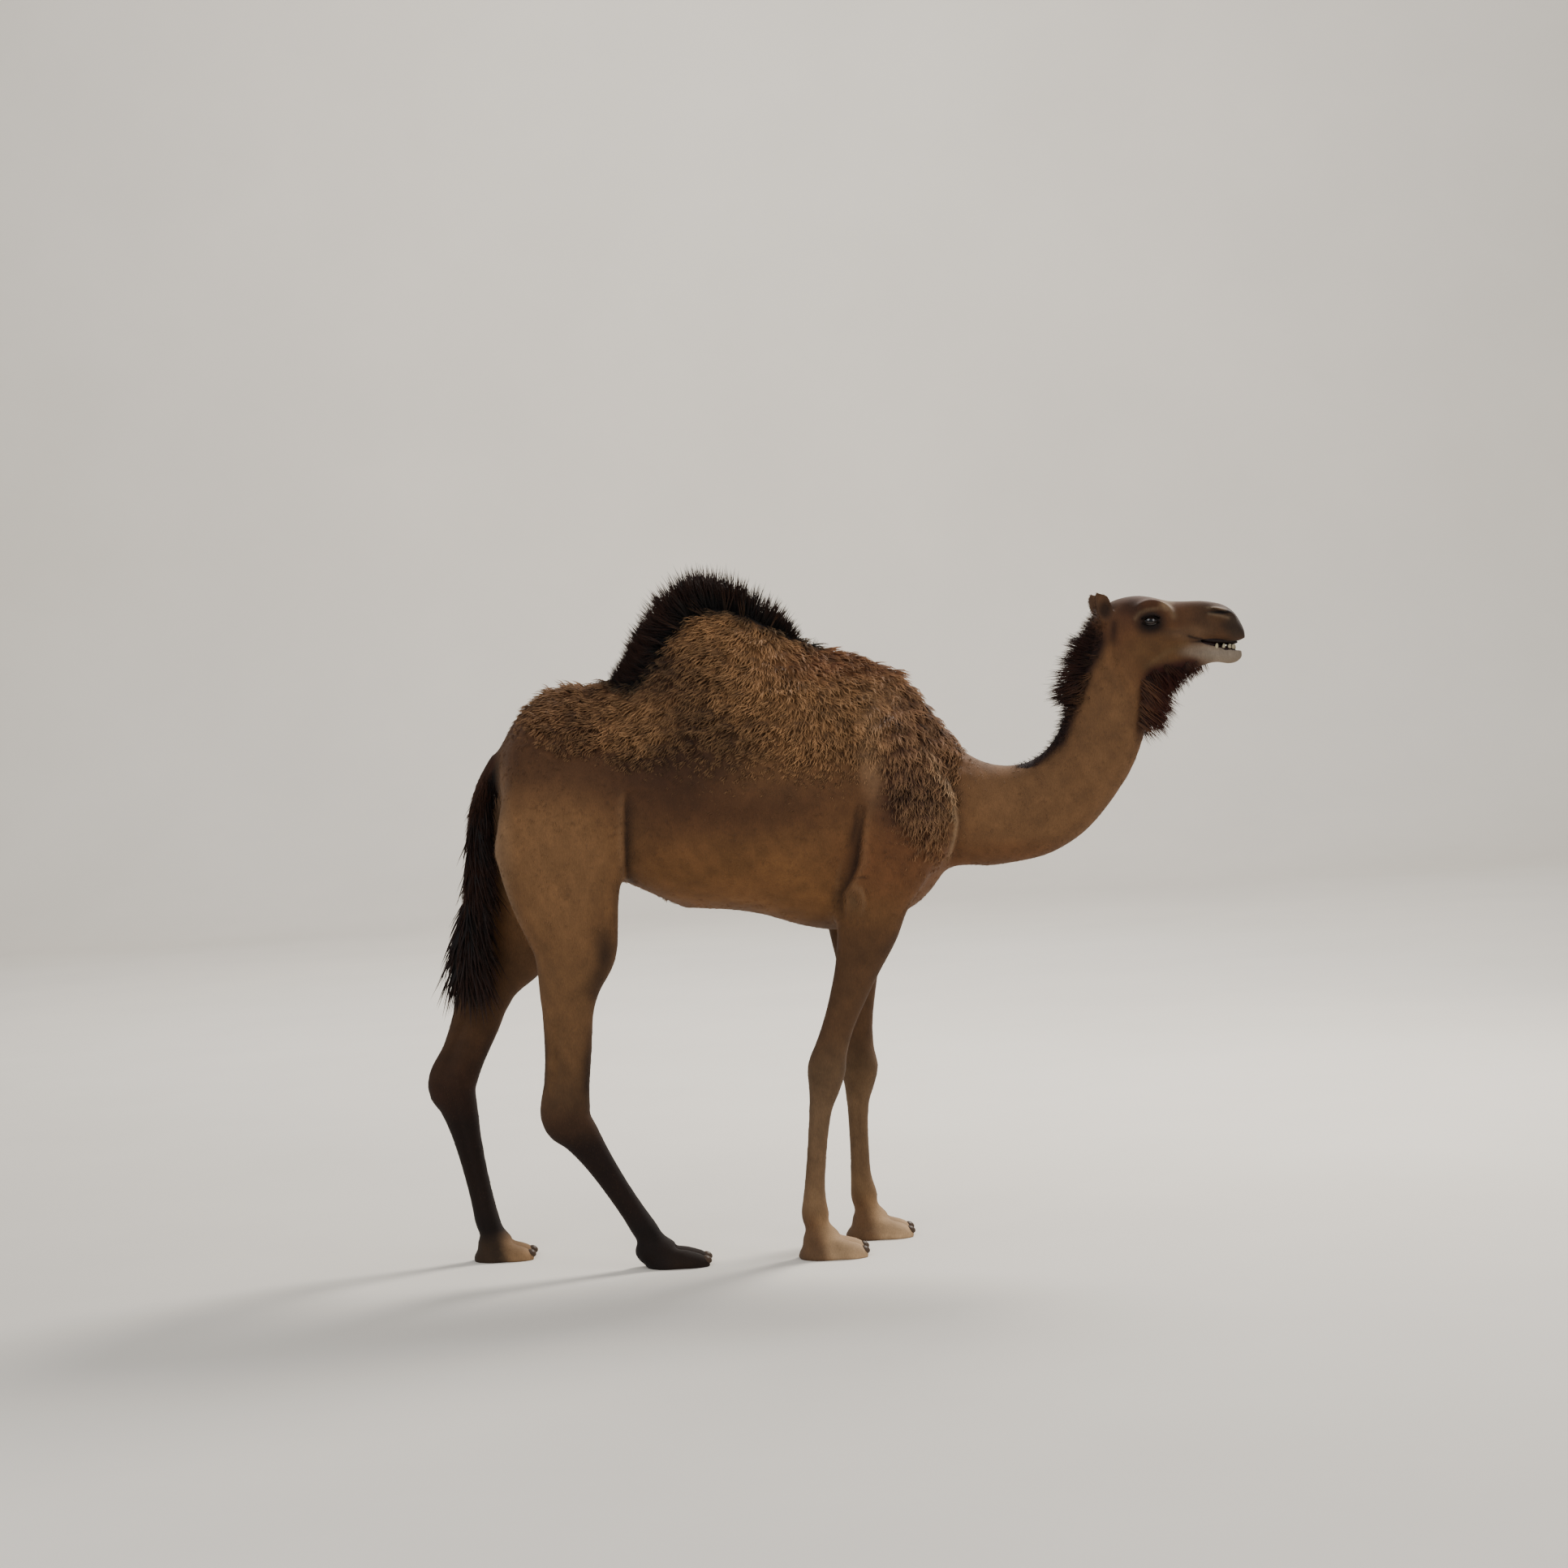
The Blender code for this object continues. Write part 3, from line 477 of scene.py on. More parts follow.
footShape = {
    "padMiddle": 0.42,  # share of the foot's length, from the heel
    "toeEnd": 0.060,  # from the middle of a toe to the front of the foot
    "toeSpread": 0.235,  # share of the foot's width
    # ahead, height, then shares of the foot's length, width and height, pitch
    "pad": (0.0, 0.008, 0.42, 0.47, 0.58, 0),
    "instep": (0.016, 0.044, 0.28, 0.34, 0.66, 14),
    # ahead, height, length, then shares of the foot's width and height, pitch
    "toes": [(0.0, 0.012, 0.062, 0.240, 0.54, 7), (-0.014, 0.026, 0.050, 0.18, 0.42, 16)],
}


def toeMiddles(joints, foot):
    x, y, _ = joints[-2]
    length, width, _ = foot
    toeX = x - joints[-1] + length - footShape["toeEnd"]
    return [(toeX, y + s * width * footShape["toeSpread"]) for s in (-1, 1)]


def footForms(joints, foot):  # heel pad, instep and two toes
    x, y, _ = joints[-2]
    length, width, height = foot
    padX = x - joints[-1] + length * footShape["padMiddle"]
    forms = []
    for startX, row in ((padX, footShape["pad"]), (x, footShape["instep"])):
        ahead, rise, long, wide, high, pitch = row
        radii = (length * long, width * wide, height * high)
        forms.append(ellipsoid((startX + ahead, y, rise), radii, pitch))
    for toeX, toeY in toeMiddles(joints, foot):
        for ahead, rise, long, wide, high, pitch in footShape["toes"]:
            radii = (long, width * wide, height * high)
            forms.append(ellipsoid((toeX + ahead, toeY, rise), radii, pitch))
    return forms


def allLegs():  # side, end, joints, shape function and foot size of each leg
    for side in ("right", "left"):
        yield side, "fore", legShape["fore"][side], foreLeg, legShape["foreFoot"]
        yield side, "hind", legShape["hind"][side], hindLeg, legShape["hindFoot"]


def softAmount(places):  # most on the trunk, little on the tail and the lower legs
    x, z = places[:, 0], places[:, 2]
    amount = np.clip((z - 0.50) / 0.50, 0, 1)
    amount = np.where(x > 0.45, 0.5 - 0.4 * ramp(x, 0.45, 0.60), amount)
    amount = np.where((x < -0.84) | (z < 0.60), 0.1, amount)
    return amount * 0.5


def buildBody():
    meshes = [barrel(bodyShape["trunk"]), slanted(bodyShape["neck"]), limb(bodyShape["dock"])]
    meshes += [form(row) for row in bodyShape["middleForms"]]
    for side in (-1, 1):
        meshes += [form(row, side) for row in bodyShape["sideForms"] + [bodyShape["elbowPad"]]]
    for side, end, joints, leg, foot in allLegs():
        meshes += [leg(joints), *footForms(joints, foot)]
        if end == "hind":
            x, y, z = joints[2]
            back, up = legShape["hockPoint"][side]
            pitch = legShape["hockPoint"]["pitch"]
            meshes.append(ellipsoid((x + back, y, z + up), legShape["hockPoint"]["radii"], pitch))
    body = fuse(place("body", bpy.data.meshes.new("body")), meshes, bodyShape["voxel"])
    smooth(body, bodyShape["softPasses"], softAmount(vertexPlaces(body.data)))
    return body


# the head, with its ears, lids, nostrils and mouth

headShape = {
    "voxel": 0.0025,
    "firstVoxel": 1.3,  # times the voxel, before the lids and ears are on
    "triangles": 80000,
    "softened": {"skull": (22, 0.4), "lids": (4, 0.4), "mouth": (5, 0.45)},  # passes, amount
    # head above the mouth, then the jaw, with the trunk's columns
    "skull": [
        (0.905, 1.765, 1.735, 1.700, 0.034, 0.0),
        (0.932, 1.800, 1.735, 1.655, 0.056, 0.0),
        (0.970, 1.824, 1.740, 1.620, 0.066, 0.1),
        (1.010, 1.836, 1.750, 1.610, 0.069, 0.1),
        (1.055, 1.839, 1.760, 1.612, 0.069, 0.0),
        (1.098, 1.831, 1.755, 1.625, 0.062, 0.0),
        (1.140, 1.819, 1.750, 1.650, 0.052, 0.1),
        (1.185, 1.816, 1.745, 1.680, 0.044, 0.2),
        (1.235, 1.814, 1.745, 1.690, 0.041, 0.2),
        (1.275, 1.807, 1.742, 1.690, 0.044, 0.2),
        (1.306, 1.795, 1.735, 1.686, 0.047, 0.3),
        (1.332, 1.772, 1.722, 1.682, 0.043, 0.3),
        (1.350, 1.738, 1.710, 1.682, 0.031, 0.2),
        (1.358, 1.714, 1.702, 1.690, 0.014, 0.0),
    ],
    "jaw": [
        (0.965, 1.690, 1.650, 1.605, 0.028, 0.0),
        (0.995, 1.705, 1.645, 1.580, 0.048, 0.0),
        (1.045, 1.695, 1.635, 1.576, 0.050, 0.0),
        (1.110, 1.690, 1.640, 1.586, 0.042, 0.0),
        (1.170, 1.696, 1.650, 1.600, 0.036, 0.0),
        (1.222, 1.696, 1.660, 1.620, 0.032, 0.0),
        (1.268, 1.690, 1.660, 1.630, 0.031, 0.0),
        (1.306, 1.685, 1.654, 1.623, 0.032, 0.0),
        (1.332, 1.678, 1.652, 1.628, 0.027, 0.0),
        (1.347, 1.664, 1.652, 1.641, 0.013, 0.0),
    ],
    # rows like sideForms of the body
    "forms": [
        (1.128, 0.042, 1.778, 0.022, 0.020, 0.026, 24),  # front of the eye socket
        (1.036, 0.048, 1.770, 0.022, 0.022, 0.030, -10),  # back of the eye socket
        (1.096, 0.042, 1.722, 0.086, 0.022, 0.020, 6),  # cheek bone
        (1.026, 0.036, 1.668, 0.060, 0.028, 0.064, 12),  # jaw muscle
        (1.150, 0.026, 1.700, 0.090, 0.018, 0.026, 4),  # cheek
        (1.292, 0.026, 1.766, 0.042, 0.018, 0.022, 16),  # nostril
        (1.316, 0.017, 1.712, 0.038, 0.025, 0.026, 8),  # half of the upper lip
        (1.336, 0.012, 1.700, 0.018, 0.016, 0.016, 20),  # tip of the lip, beside its cleft
    ],
    "chin": (1.304, 0.0, 1.651, 0.038, 0.031, 0.026, 0),
    # bony arch over the eye: x, y, z, depth, width
    "brow": [
        (1.030, 0.058, 1.782, 0.014, 0.016),
        (1.046, 0.058, 1.802, 0.020, 0.022),
        (1.076, 0.052, 1.815, 0.023, 0.028),
        (1.106, 0.048, 1.811, 0.023, 0.028),
        (1.132, 0.045, 1.797, 0.020, 0.024),
        (1.149, 0.041, 1.776, 0.014, 0.016),
    ],
    "eyeHollow": (1.080, 0.084, 1.762, 0.040, 0.019, 0.028, 4),
    "lidRadius": 0.0272,
    "eyeSlit": (1.079, 0.084, 1.7590, 0.0235, 0.0300, 0.0118, 6),
    # the open mouth seen from the side, from its corner along the upper lip and back
    "mouth": [
        (1.212, 1.7010),
        (1.238, 1.6975),
        (1.281, 1.6910),
        (1.316, 1.6870),
        (1.334, 1.6880),
        (1.350, 1.6935),
        (1.400, 1.7090),
        (1.400, 1.6500),
        (1.345, 1.6620),
        (1.316, 1.6650),
        (1.281, 1.6735),
        (1.238, 1.6870),
    ],
    "wings": [  # above and below each nostril, and before it
        (1.284, 0.0385, 1.7830, 0.0380, 0.0085, 0.0062, 18, -8),
        (1.288, 0.0420, 1.7620, 0.0340, 0.0075, 0.0055, 14, -8),
        (1.322, 0.0310, 1.7600, 0.0090, 0.0110, 0.0120, 30, -20),
    ],
}

ear = {
    "root": (0.956, 0.054, 1.778),
    "tip": (0.932, 0.088, 1.852),
    "outward": (0.38, 0.92, 0.05),  # where the hollow looks
    "halfWidth": 0.0300,
    "wall": 0.0040,
    "cup": 0.017,
    "sunk": -0.15,  # where the shell begins inside the head, as a share of the ear's length
    "flare": (0.004, 0, 0.008),  # moves one rim this way at the tip, and the other rim back
}


def earShell(side):
    root, tip = Vector(ear["root"]), Vector(ear["tip"])
    up = (tip - root).normalized()
    outward = Vector(ear["outward"])
    outward = (outward - up * outward.dot(up)).normalized()
    across = up.cross(outward)
    rings = []
    for t in np.linspace(ear["sunk"], 1.0, shapeDetail["earRings"]):
        closing = max(0.0, t * 2 - 1) ** 3
        swell = (0.80 + 0.20 * min(1.0, max(t, 0) * 3)) * math.sqrt(1.06 - closing)
        opened = min(1.0, max(t, 0) * 4)
        ring = []
        for a in turnAngles(shapeDetail["earSides"]):
            c, s = math.cos(a), math.sin(a)
            # the rims curl outwards, and between them the shell is a thin cup
            cup = ear["cup"] * swell * (c * c - 0.55) * opened
            wall = ear["wall"] * (1 + (1 - opened) * 2.0)
            lift = cup + wall * math.copysign(abs(s) ** 0.5, s)
            reach = ear["halfWidth"] * swell * math.copysign(abs(c) ** 0.85, c)
            point = root + up * (tip - root).length * t + across * reach + outward * lift
            point += Vector(ear["flare"]) * c * max(t, 0)
            ring.append(Vector((point.x, point.y * side, point.z)))
        rings.append(ring)
    return skinRings(rings)


def buildHead():
    meshes = [barrel(headShape["skull"]), barrel(headShape["jaw"]), form(headShape["chin"])]
    meshes.append(slanted(bodyShape["neck"][6:]))
    mouth = [prism(headShape["mouth"], -0.1, 0.1)]
    slits, lids = [], []
    for side in (-1, 1):
        meshes += [form(row, side) for row in headShape["forms"]]
        meshes += [form(row, side) for row in headShape["wings"]]
        meshes.append(limb([(x, y * side, z, d, w) for x, y, z, d, w in headShape["brow"]]))
        x, y, z = eyePlace
        lids.append(ellipsoid((x, y * side, z), (headShape["lidRadius"],) * 3))
        lids.append(earShell(side))
        slits.append(form(headShape["eyeSlit"], side))
    firstVoxel = headShape["voxel"] * headShape["firstVoxel"]
    head = fuse(place("head", bpy.data.meshes.new("head")), meshes, firstVoxel)
    carve(head, [form(headShape["eyeHollow"], side) for side in (-1, 1)])
    smooth(head, *headShape["softened"]["skull"])
    fuse(head, [head.data, *lids], headShape["voxel"])
    smooth(head, *headShape["softened"]["lids"])
    carve(head, mouth + slits)
    fuse(head, [head.data], headShape["voxel"])
    smooth(head, *headShape["softened"]["mouth"])
    return head


# where the coat is thick, which way it lies, and its colours

# the line behind the ears and the jaw: a point on it, and the way to the head
headBorder = {"x": 0.600, "z": 2.225, "ahead": 0.820, "up": 0.572}


def headLine(places):  # above 0 on the head's side
    ahead = (places[:, 0] - headBorder["x"]) * headBorder["ahead"]
    return ahead + (places[:, 2] - headBorder["z"]) * headBorder["up"]


def ripple(places, size, seed, waves=9):  # a smooth wandering value of about -1 to 1
    random = np.random.default_rng(seed)
    total = np.zeros(len(places))
    for _ in range(waves):
        direction = random.normal(size=3)
        direction *= 2 * math.pi / size / np.linalg.norm(direction) * random.uniform(0.7, 1.4)
        total += np.sin(places @ direction + random.uniform(0, 2 * math.pi))
    return total / math.sqrt(waves * 0.5) * 0.6


def valueAt(place, rows):  # reads a value off rows of place, value
    marks, values = zip(*rows)
    return np.interp(place, marks, values)


def blob(places, x, z, reachX, reachZ, soft=0.5):  # 1 inside an oval of the side view, 0 outside
    away = np.hypot((places[:, 0] - x) / reachX, (places[:, 2] - z) / reachZ)
    return 1 - ramp(away, 1 - soft, 1 + soft)


woolFields = {
    # oval patches of the side view: x, z, reach along x, reach along z
    "hump": [(-0.08, 1.68, 0.34, 0.27), (0.12, 1.59, 0.26, 0.21)],
    "shoulder": [(0.40, 1.40, 0.105, 0.24), (0.33, 1.56, 0.12, 0.16)],
    "croup": [(-0.53, 1.60, 0.20, 0.12), (-0.40, 1.56, 0.13, 0.12)],
}


def woolAmount(places, name):
    amount = np.zeros(len(places))
    for patch in woolFields[name]:
        amount = np.maximum(amount, blob(places, *patch))
    return amount * (headLine(places) < -0.3)


coatDepths = {
    "short": 0.0045, "hump": 0.014, "shoulder": 0.010, "croup": 0.010, "feet": 0.0014, "head": 0.0012,
    "legShare": 0.45,  # share of the depth that is left on the legs
    "legHeights": (0.75, 1.0),
    "footHeights": (0.10, 0.16),
}


def coatDepth(places):
    z, short, legShare = places[:, 2], coatDepths["short"], coatDepths["legShare"]
    depth = np.full(len(places), short)
    for name in woolFields:
        thick = coatDepths[name]
        depth = depth + (thick - short) * woolAmount(places, name) * (thick > depth)
    depth = depth * (legShare + (1 - legShare) * ramp(z, *coatDepths["legHeights"]))
    depth = depth + (coatDepths["feet"] - depth) * (1 - ramp(z, *coatDepths["footHeights"]))
    return depth + (coatDepths["head"] - depth) * ramp(headLine(places), -0.12, 0.02)


# folds, pads and sinews, pressed into the skin

folds = {
    # paths of the side view, then depth and width; a negative depth raises a ridge
    "body": [
        ([(0.205, 1.290), (0.196, 1.235), (0.180, 1.180)], 0.004, 0.008),
        ([(0.150, 1.130), (0.134, 1.080), (0.130, 1.030)], -0.004, 0.007),
        ([(0.184, 1.081), (0.205, 1.085), (0.224, 1.082)], 0.005, 0.006),
        ([(0.206, 1.064), (0.220, 1.030), (0.214, 0.990), (0.190, 0.968)], 0.005, 0.007),
        ([(0.540, 1.230), (0.536, 1.160), (0.520, 1.100)], 0.003, 0.008),
        ([(-0.560, 0.975), (-0.574, 0.905), (-0.566, 0.840)], 0.006, 0.016),
        ([(-0.700, 1.000), (-0.690, 0.920), (-0.694, 0.850)], 0.004, 0.020),
        ([(-0.640, 0.560), (-0.664, 0.500), (-0.650, 0.450)], -0.004, 0.016),
        ([(-0.965, 0.640), (-1.010, 0.560), (-1.000, 0.510)], -0.004, 0.016),
        ([(-0.800, 1.350), (-0.772, 1.230), (-0.740, 1.110), (-0.705, 1.000)], 0.005, 0.022),
        ([(-0.620, 1.180), (-0.640, 1.080), (-0.655, 0.980)], 0.003, 0.030),
    ],
    # along the neck, pressed into the body and the head alike
    "neck": [
        ([(0.560, 1.170), (0.700, 1.170), (0.815, 1.260), (0.905, 1.390), (0.955, 1.520)], 0.005, 0.022),
        ([(0.560, 1.330), (0.680, 1.290), (0.770, 1.360), (0.830, 1.460)], 0.003, 0.020),
    ],
    # edges that stand proud, from the top down: path, which way along X the skin sinks, depth, reach
    "steps": [
        ([(0.232, 1.290), (0.218, 1.220), (0.209, 1.172), (0.201, 1.122), (0.182, 1.082),
          (0.152, 1.042), (0.149, 0.965)], -1, 0.022, 0.050),
        ([(-0.446, 1.370), (-0.455, 1.330), (-0.462, 1.240), (-0.468, 1.128), (-0.462, 1.060)],
         1, 0.020, 0.055),
        ([(0.400, 1.470), (0.428, 1.425), (0.462, 1.369), (0.484, 1.297), (0.494, 1.218),
          (0.486, 1.180), (0.458, 1.085)], 1, 0.013, 0.040),
    ],
    "ribs": {
        "from": -0.36, "to": 0.10, "step": 0.058, "depth": 0.0007,
        "bottom": (1.06, 1.16), "top": (1.30, 1.42),  # heights between which they fade
    },
    "head": [
        ([(0.978, 1.765), (0.966, 1.720), (0.962, 1.671), (0.974, 1.620), (1.005, 1.558), (1.020, 1.510)],
         0.006, 0.009),
        ([(1.222, 1.7005), (1.207, 1.7045), (1.192, 1.7100)], 0.0034, 0.0045),
        ([(1.215, 1.716), (1.250, 1.713), (1.300, 1.708), (1.340, 1.697)], -0.0022, 0.006),
        ([(1.222, 1.688), (1.262, 1.681), (1.310, 1.668)], -0.0020, 0.006),
        ([(1.222, 1.674), (1.258, 1.664), (1.290, 1.660)], 0.0026, 0.007),
        ([(1.108, 1.747), (1.126, 1.738), (1.150, 1.733), (1.175, 1.735)], 0.0026, 0.009),
        ([(1.252, 1.7835), (1.268, 1.7800), (1.292, 1.7735), (1.318, 1.7640)], 0.0110, 0.0042),
        ([(1.046, 1.745), (1.066, 1.735), (1.092, 1.735), (1.112, 1.745)], 0.0022, 0.004),
        ([(1.044, 1.774), (1.060, 1.786), (1.086, 1.789), (1.110, 1.780)], 0.0026, 0.004),
        ([(1.240, 1.752), (1.272, 1.744), (1.310, 1.735)], 0.0026, 0.008),
        ([(1.222, 1.772), (1.240, 1.760), (1.262, 1.752)], 0.0018, 0.006),
        ([(1.010, 1.800), (1.020, 1.780), (1.022, 1.755)], 0.0036, 0.012),
    ],
    "lipCleft": {"x": 1.345, "depth": 0.007, "width": 0.004},
}


def pressFold(places, normals, path, depth, width, mask):
    distance, share = pathDistance(places, path)
    amount = depth * bell(distance, width) * fadeEnds(share, 0.04, 0.96, 0.5) * mask
    return places - normals * amount[:, None]


def besideStep(places, path, way):  # how far beyond a step, and how it fades at its ends
    xs, zs = zip(*path[::-1])
    x, z = places[:, 0], places[:, 2]
    share = np.clip((z - zs[0]) / (zs[-1] - zs[0]), 0, 1)
    fade = np.sin(np.pi * share) ** 0.4 * (share > 0) * (share < 1)
    return (x - np.interp(z, zs, xs)) * way, fade


def sinkBeyond(places, normals, path, way, depth, reach, mask):
    beyond, fade = besideStep(places, path, way)
    amount = depth * fade * ramp(beyond, -0.005, 0.006) * np.exp(-np.maximum(beyond, 0) / reach) * mask
    return places - normals * amount[:, None]


fleece = {"clump": 0.050, "rise": 0.0050, "seed": 8}


def fleeceRise(places):  # clumps of wool, wider than high, on the woolly parts
    amount = np.maximum.reduce([woolAmount(places, name) for name in woolFields])
    bent = places * np.array([1.0, 0.6, 1.35])
    wave = ripple(bent, fleece["clump"], fleece["seed"], 14)
    return amount * fleece["rise"] * np.tanh(wave * 1.3)


def pressBody(body):
    mesh = body.data
    places, normals = vertexPlaces(mesh), vertexNormals(mesh)
    places = places - normals * (coatDepth(places) - fleeceRise(places))[:, None]
    outer = ramp(np.abs(normals[:, 1]), 0.25, 0.7) * ramp(np.abs(places[:, 1]), 0.03, 0.06)
    for path, depth, width in folds["body"] + folds["neck"]:
        places = pressFold(places, normals, path, depth, width, outer)
    for path, way, depth, reach in folds["steps"]:
        places = sinkBeyond(places, normals, path, way, depth, reach, outer)
    x, z = places[:, 0], places[:, 2]
    ribs = folds["ribs"]
    wave = np.cos(2 * math.pi * (x + 0.25 * (z - 1.2)) / ribs["step"])
    flank = ramp(x, ribs["from"], ribs["from"] + 0.1) * (1 - ramp(x, ribs["to"] - 0.1, ribs["to"]))
    flank = flank * ramp(z, *ribs["bottom"]) * (1 - ramp(z, *ribs["top"])) * outer
    places = places + normals * (ribs["depth"] * wave * flank)[:, None]
    places = pressLegs(places, normals)
    setPlaces(mesh, relax(mesh, places, 2, 0.3))


sinews = {
    # groove beside the sinew behind a bone: share along the bone, how far back, depth and width
    "hock": {"share": (0.45, 0.92), "back": 0.30, "depth": 0.010, "width": 0.012},
    "cannon": {"share": (0.12, 0.92), "back": 0.10, "depth": 0.0045, "width": 0.008},
    "toeCleft": {"depth": 0.012, "width": 0.0075},
}


def pressLegs(places, normals):
    # each groove runs along both sides of a leg
    for _, end, joints, _, _ in allLegs():
        upper, middle, lower = [np.array(p) for p in joints[-4:-1]]
        near = np.abs(places[:, 1] - middle[1]) < 0.09
        sideways = ramp(np.abs(normals[:, 1]), 0.2, 0.7) * near
        bones = [("cannon", middle, lower, 0.064)]
        if end == "hind":
            bones.append(("hock", upper, middle, 0.130))
        for name, start, stop, depth in bones:
            rule = sinews[name]
            along = stop - start
            back = -np.array(sideForward(Vector(along)))
            path = [start + along * s + back * depth * rule["back"] for s in rule["share"]]
            path = [(p[0], p[2]) for p in path]
            places = pressFold(places, normals, path, rule["depth"], rule["width"], sideways)
        # cleft between the two toes
        x, y, _ = joints[-2]
        front = ramp(places[:, 0], x + 0.050, x + 0.110) * (places[:, 0] < x + 0.24)
        low = (places[:, 2] < 0.10) * front
        close = bell(places[:, 1] - y, sinews["toeCleft"]["width"])
        drop = sinews["toeCleft"]["depth"] * close * low * (near & (normals[:, 2] > -0.3))
        places = places - normals * drop[:, None]
    return places


def pressHead(head):
    mesh = head.data
    places, normals = vertexPlaces(mesh), vertexNormals(mesh)
    places = places - normals * coatDepth(places)[:, None]
    outer = ramp(np.abs(normals[:, 1]), 0.15, 0.5)
    for path, depth, width in folds["head"] + folds["neck"]:
        places = pressFold(places, normals, path, depth, width, outer)
    cleft = folds["lipCleft"]
    x, y, z = places.T
    amount = cleft["depth"] * bell(y, cleft["width"])
    amount = amount * ramp(x, cleft["x"] - 0.03, cleft["x"]) * (z > 1.684) * (1 - ramp(z, 1.73, 1.77))
    places = places - normals * amount[:, None]
    setPlaces(mesh, relax(mesh, places, 2, 0.3))


# one skin: the head is set on the body across a clean ring of the neck

neckSeam = {
    "top": (0.806, 1.480), "bottom": (0.9765, 1.286), "gap": 0.002,
    "blend": 0.022, "passes": 30, "amount": 0.5,
}


def seamSide(places):  # distance from the seam, above 0 towards the head
    (topX, topZ), (bottomX, bottomZ) = neckSeam["top"], neckSeam["bottom"]
    size = math.hypot(bottomX - topX, bottomZ - topZ)
    ahead, up = (topZ - bottomZ) / size, (bottomX - topX) / size
    return (places[:, 0] - topX) * ahead + (places[:, 2] - topZ) * up, Vector((ahead, 0, up))


def joinSkin(body, head):
    bm = bmesh.new()
    _, ahead = seamSide(np.zeros((1, 3)))
    top = Vector((neckSeam["top"][0], 0, neckSeam["top"][1]))
    for item, sign in ((body, -1), (head, 1)):
        part = bmesh.new()
        part.from_mesh(item.data)
        everything = part.verts[:] + part.edges[:] + part.faces[:]
        bmesh.ops.bisect_plane(
            part, geom=everything, plane_co=top + ahead * neckSeam["gap"] * sign, plane_no=ahead,
            clear_outer=sign < 0, clear_inner=sign > 0,
        )
        bm.from_mesh(finishMesh(part))
    rim = [e for e in bm.edges if e.is_boundary]
    bmesh.ops.bridge_loops(bm, edges=rim)
    bmesh.ops.triangulate(bm, faces=[f for f in bm.faces if len(f.verts) > 3])
    skin = place("skin", finishMesh(bm))
    for item in (body, head):
        bpy.data.objects.remove(item)
    near, _ = seamSide(vertexPlaces(skin.data))
    close = 1 - ramp(np.abs(near), 0.2 * neckSeam["blend"], neckSeam["blend"])
    amount = neckSeam["amount"] * close
    smooth(skin, neckSeam["passes"], amount)
    return skin


def flattenSoles(mesh):  # what is under the floor goes up to it
    places = vertexPlaces(mesh)
    places[:, 2] = np.maximum(places[:, 2], 0.0)
    setPlaces(mesh, places)


def buildSkin():
    body = buildBody()
    pressBody(body)
    flattenSoles(body.data)
    thinOut(body, bodyShape["triangles"])
    report("body")
    head = buildHead()
    pressHead(head)
    thinOut(head, headShape["triangles"])
    report("head")
    return joinSkin(body, head)


skin = buildSkin()
report("skin")


# colours: the skin and the coat share these markings

def tone(red, green, blue):  # screen values to linear light
    return np.array([(c / 255) ** 2.2 for c in (red, green, blue)])


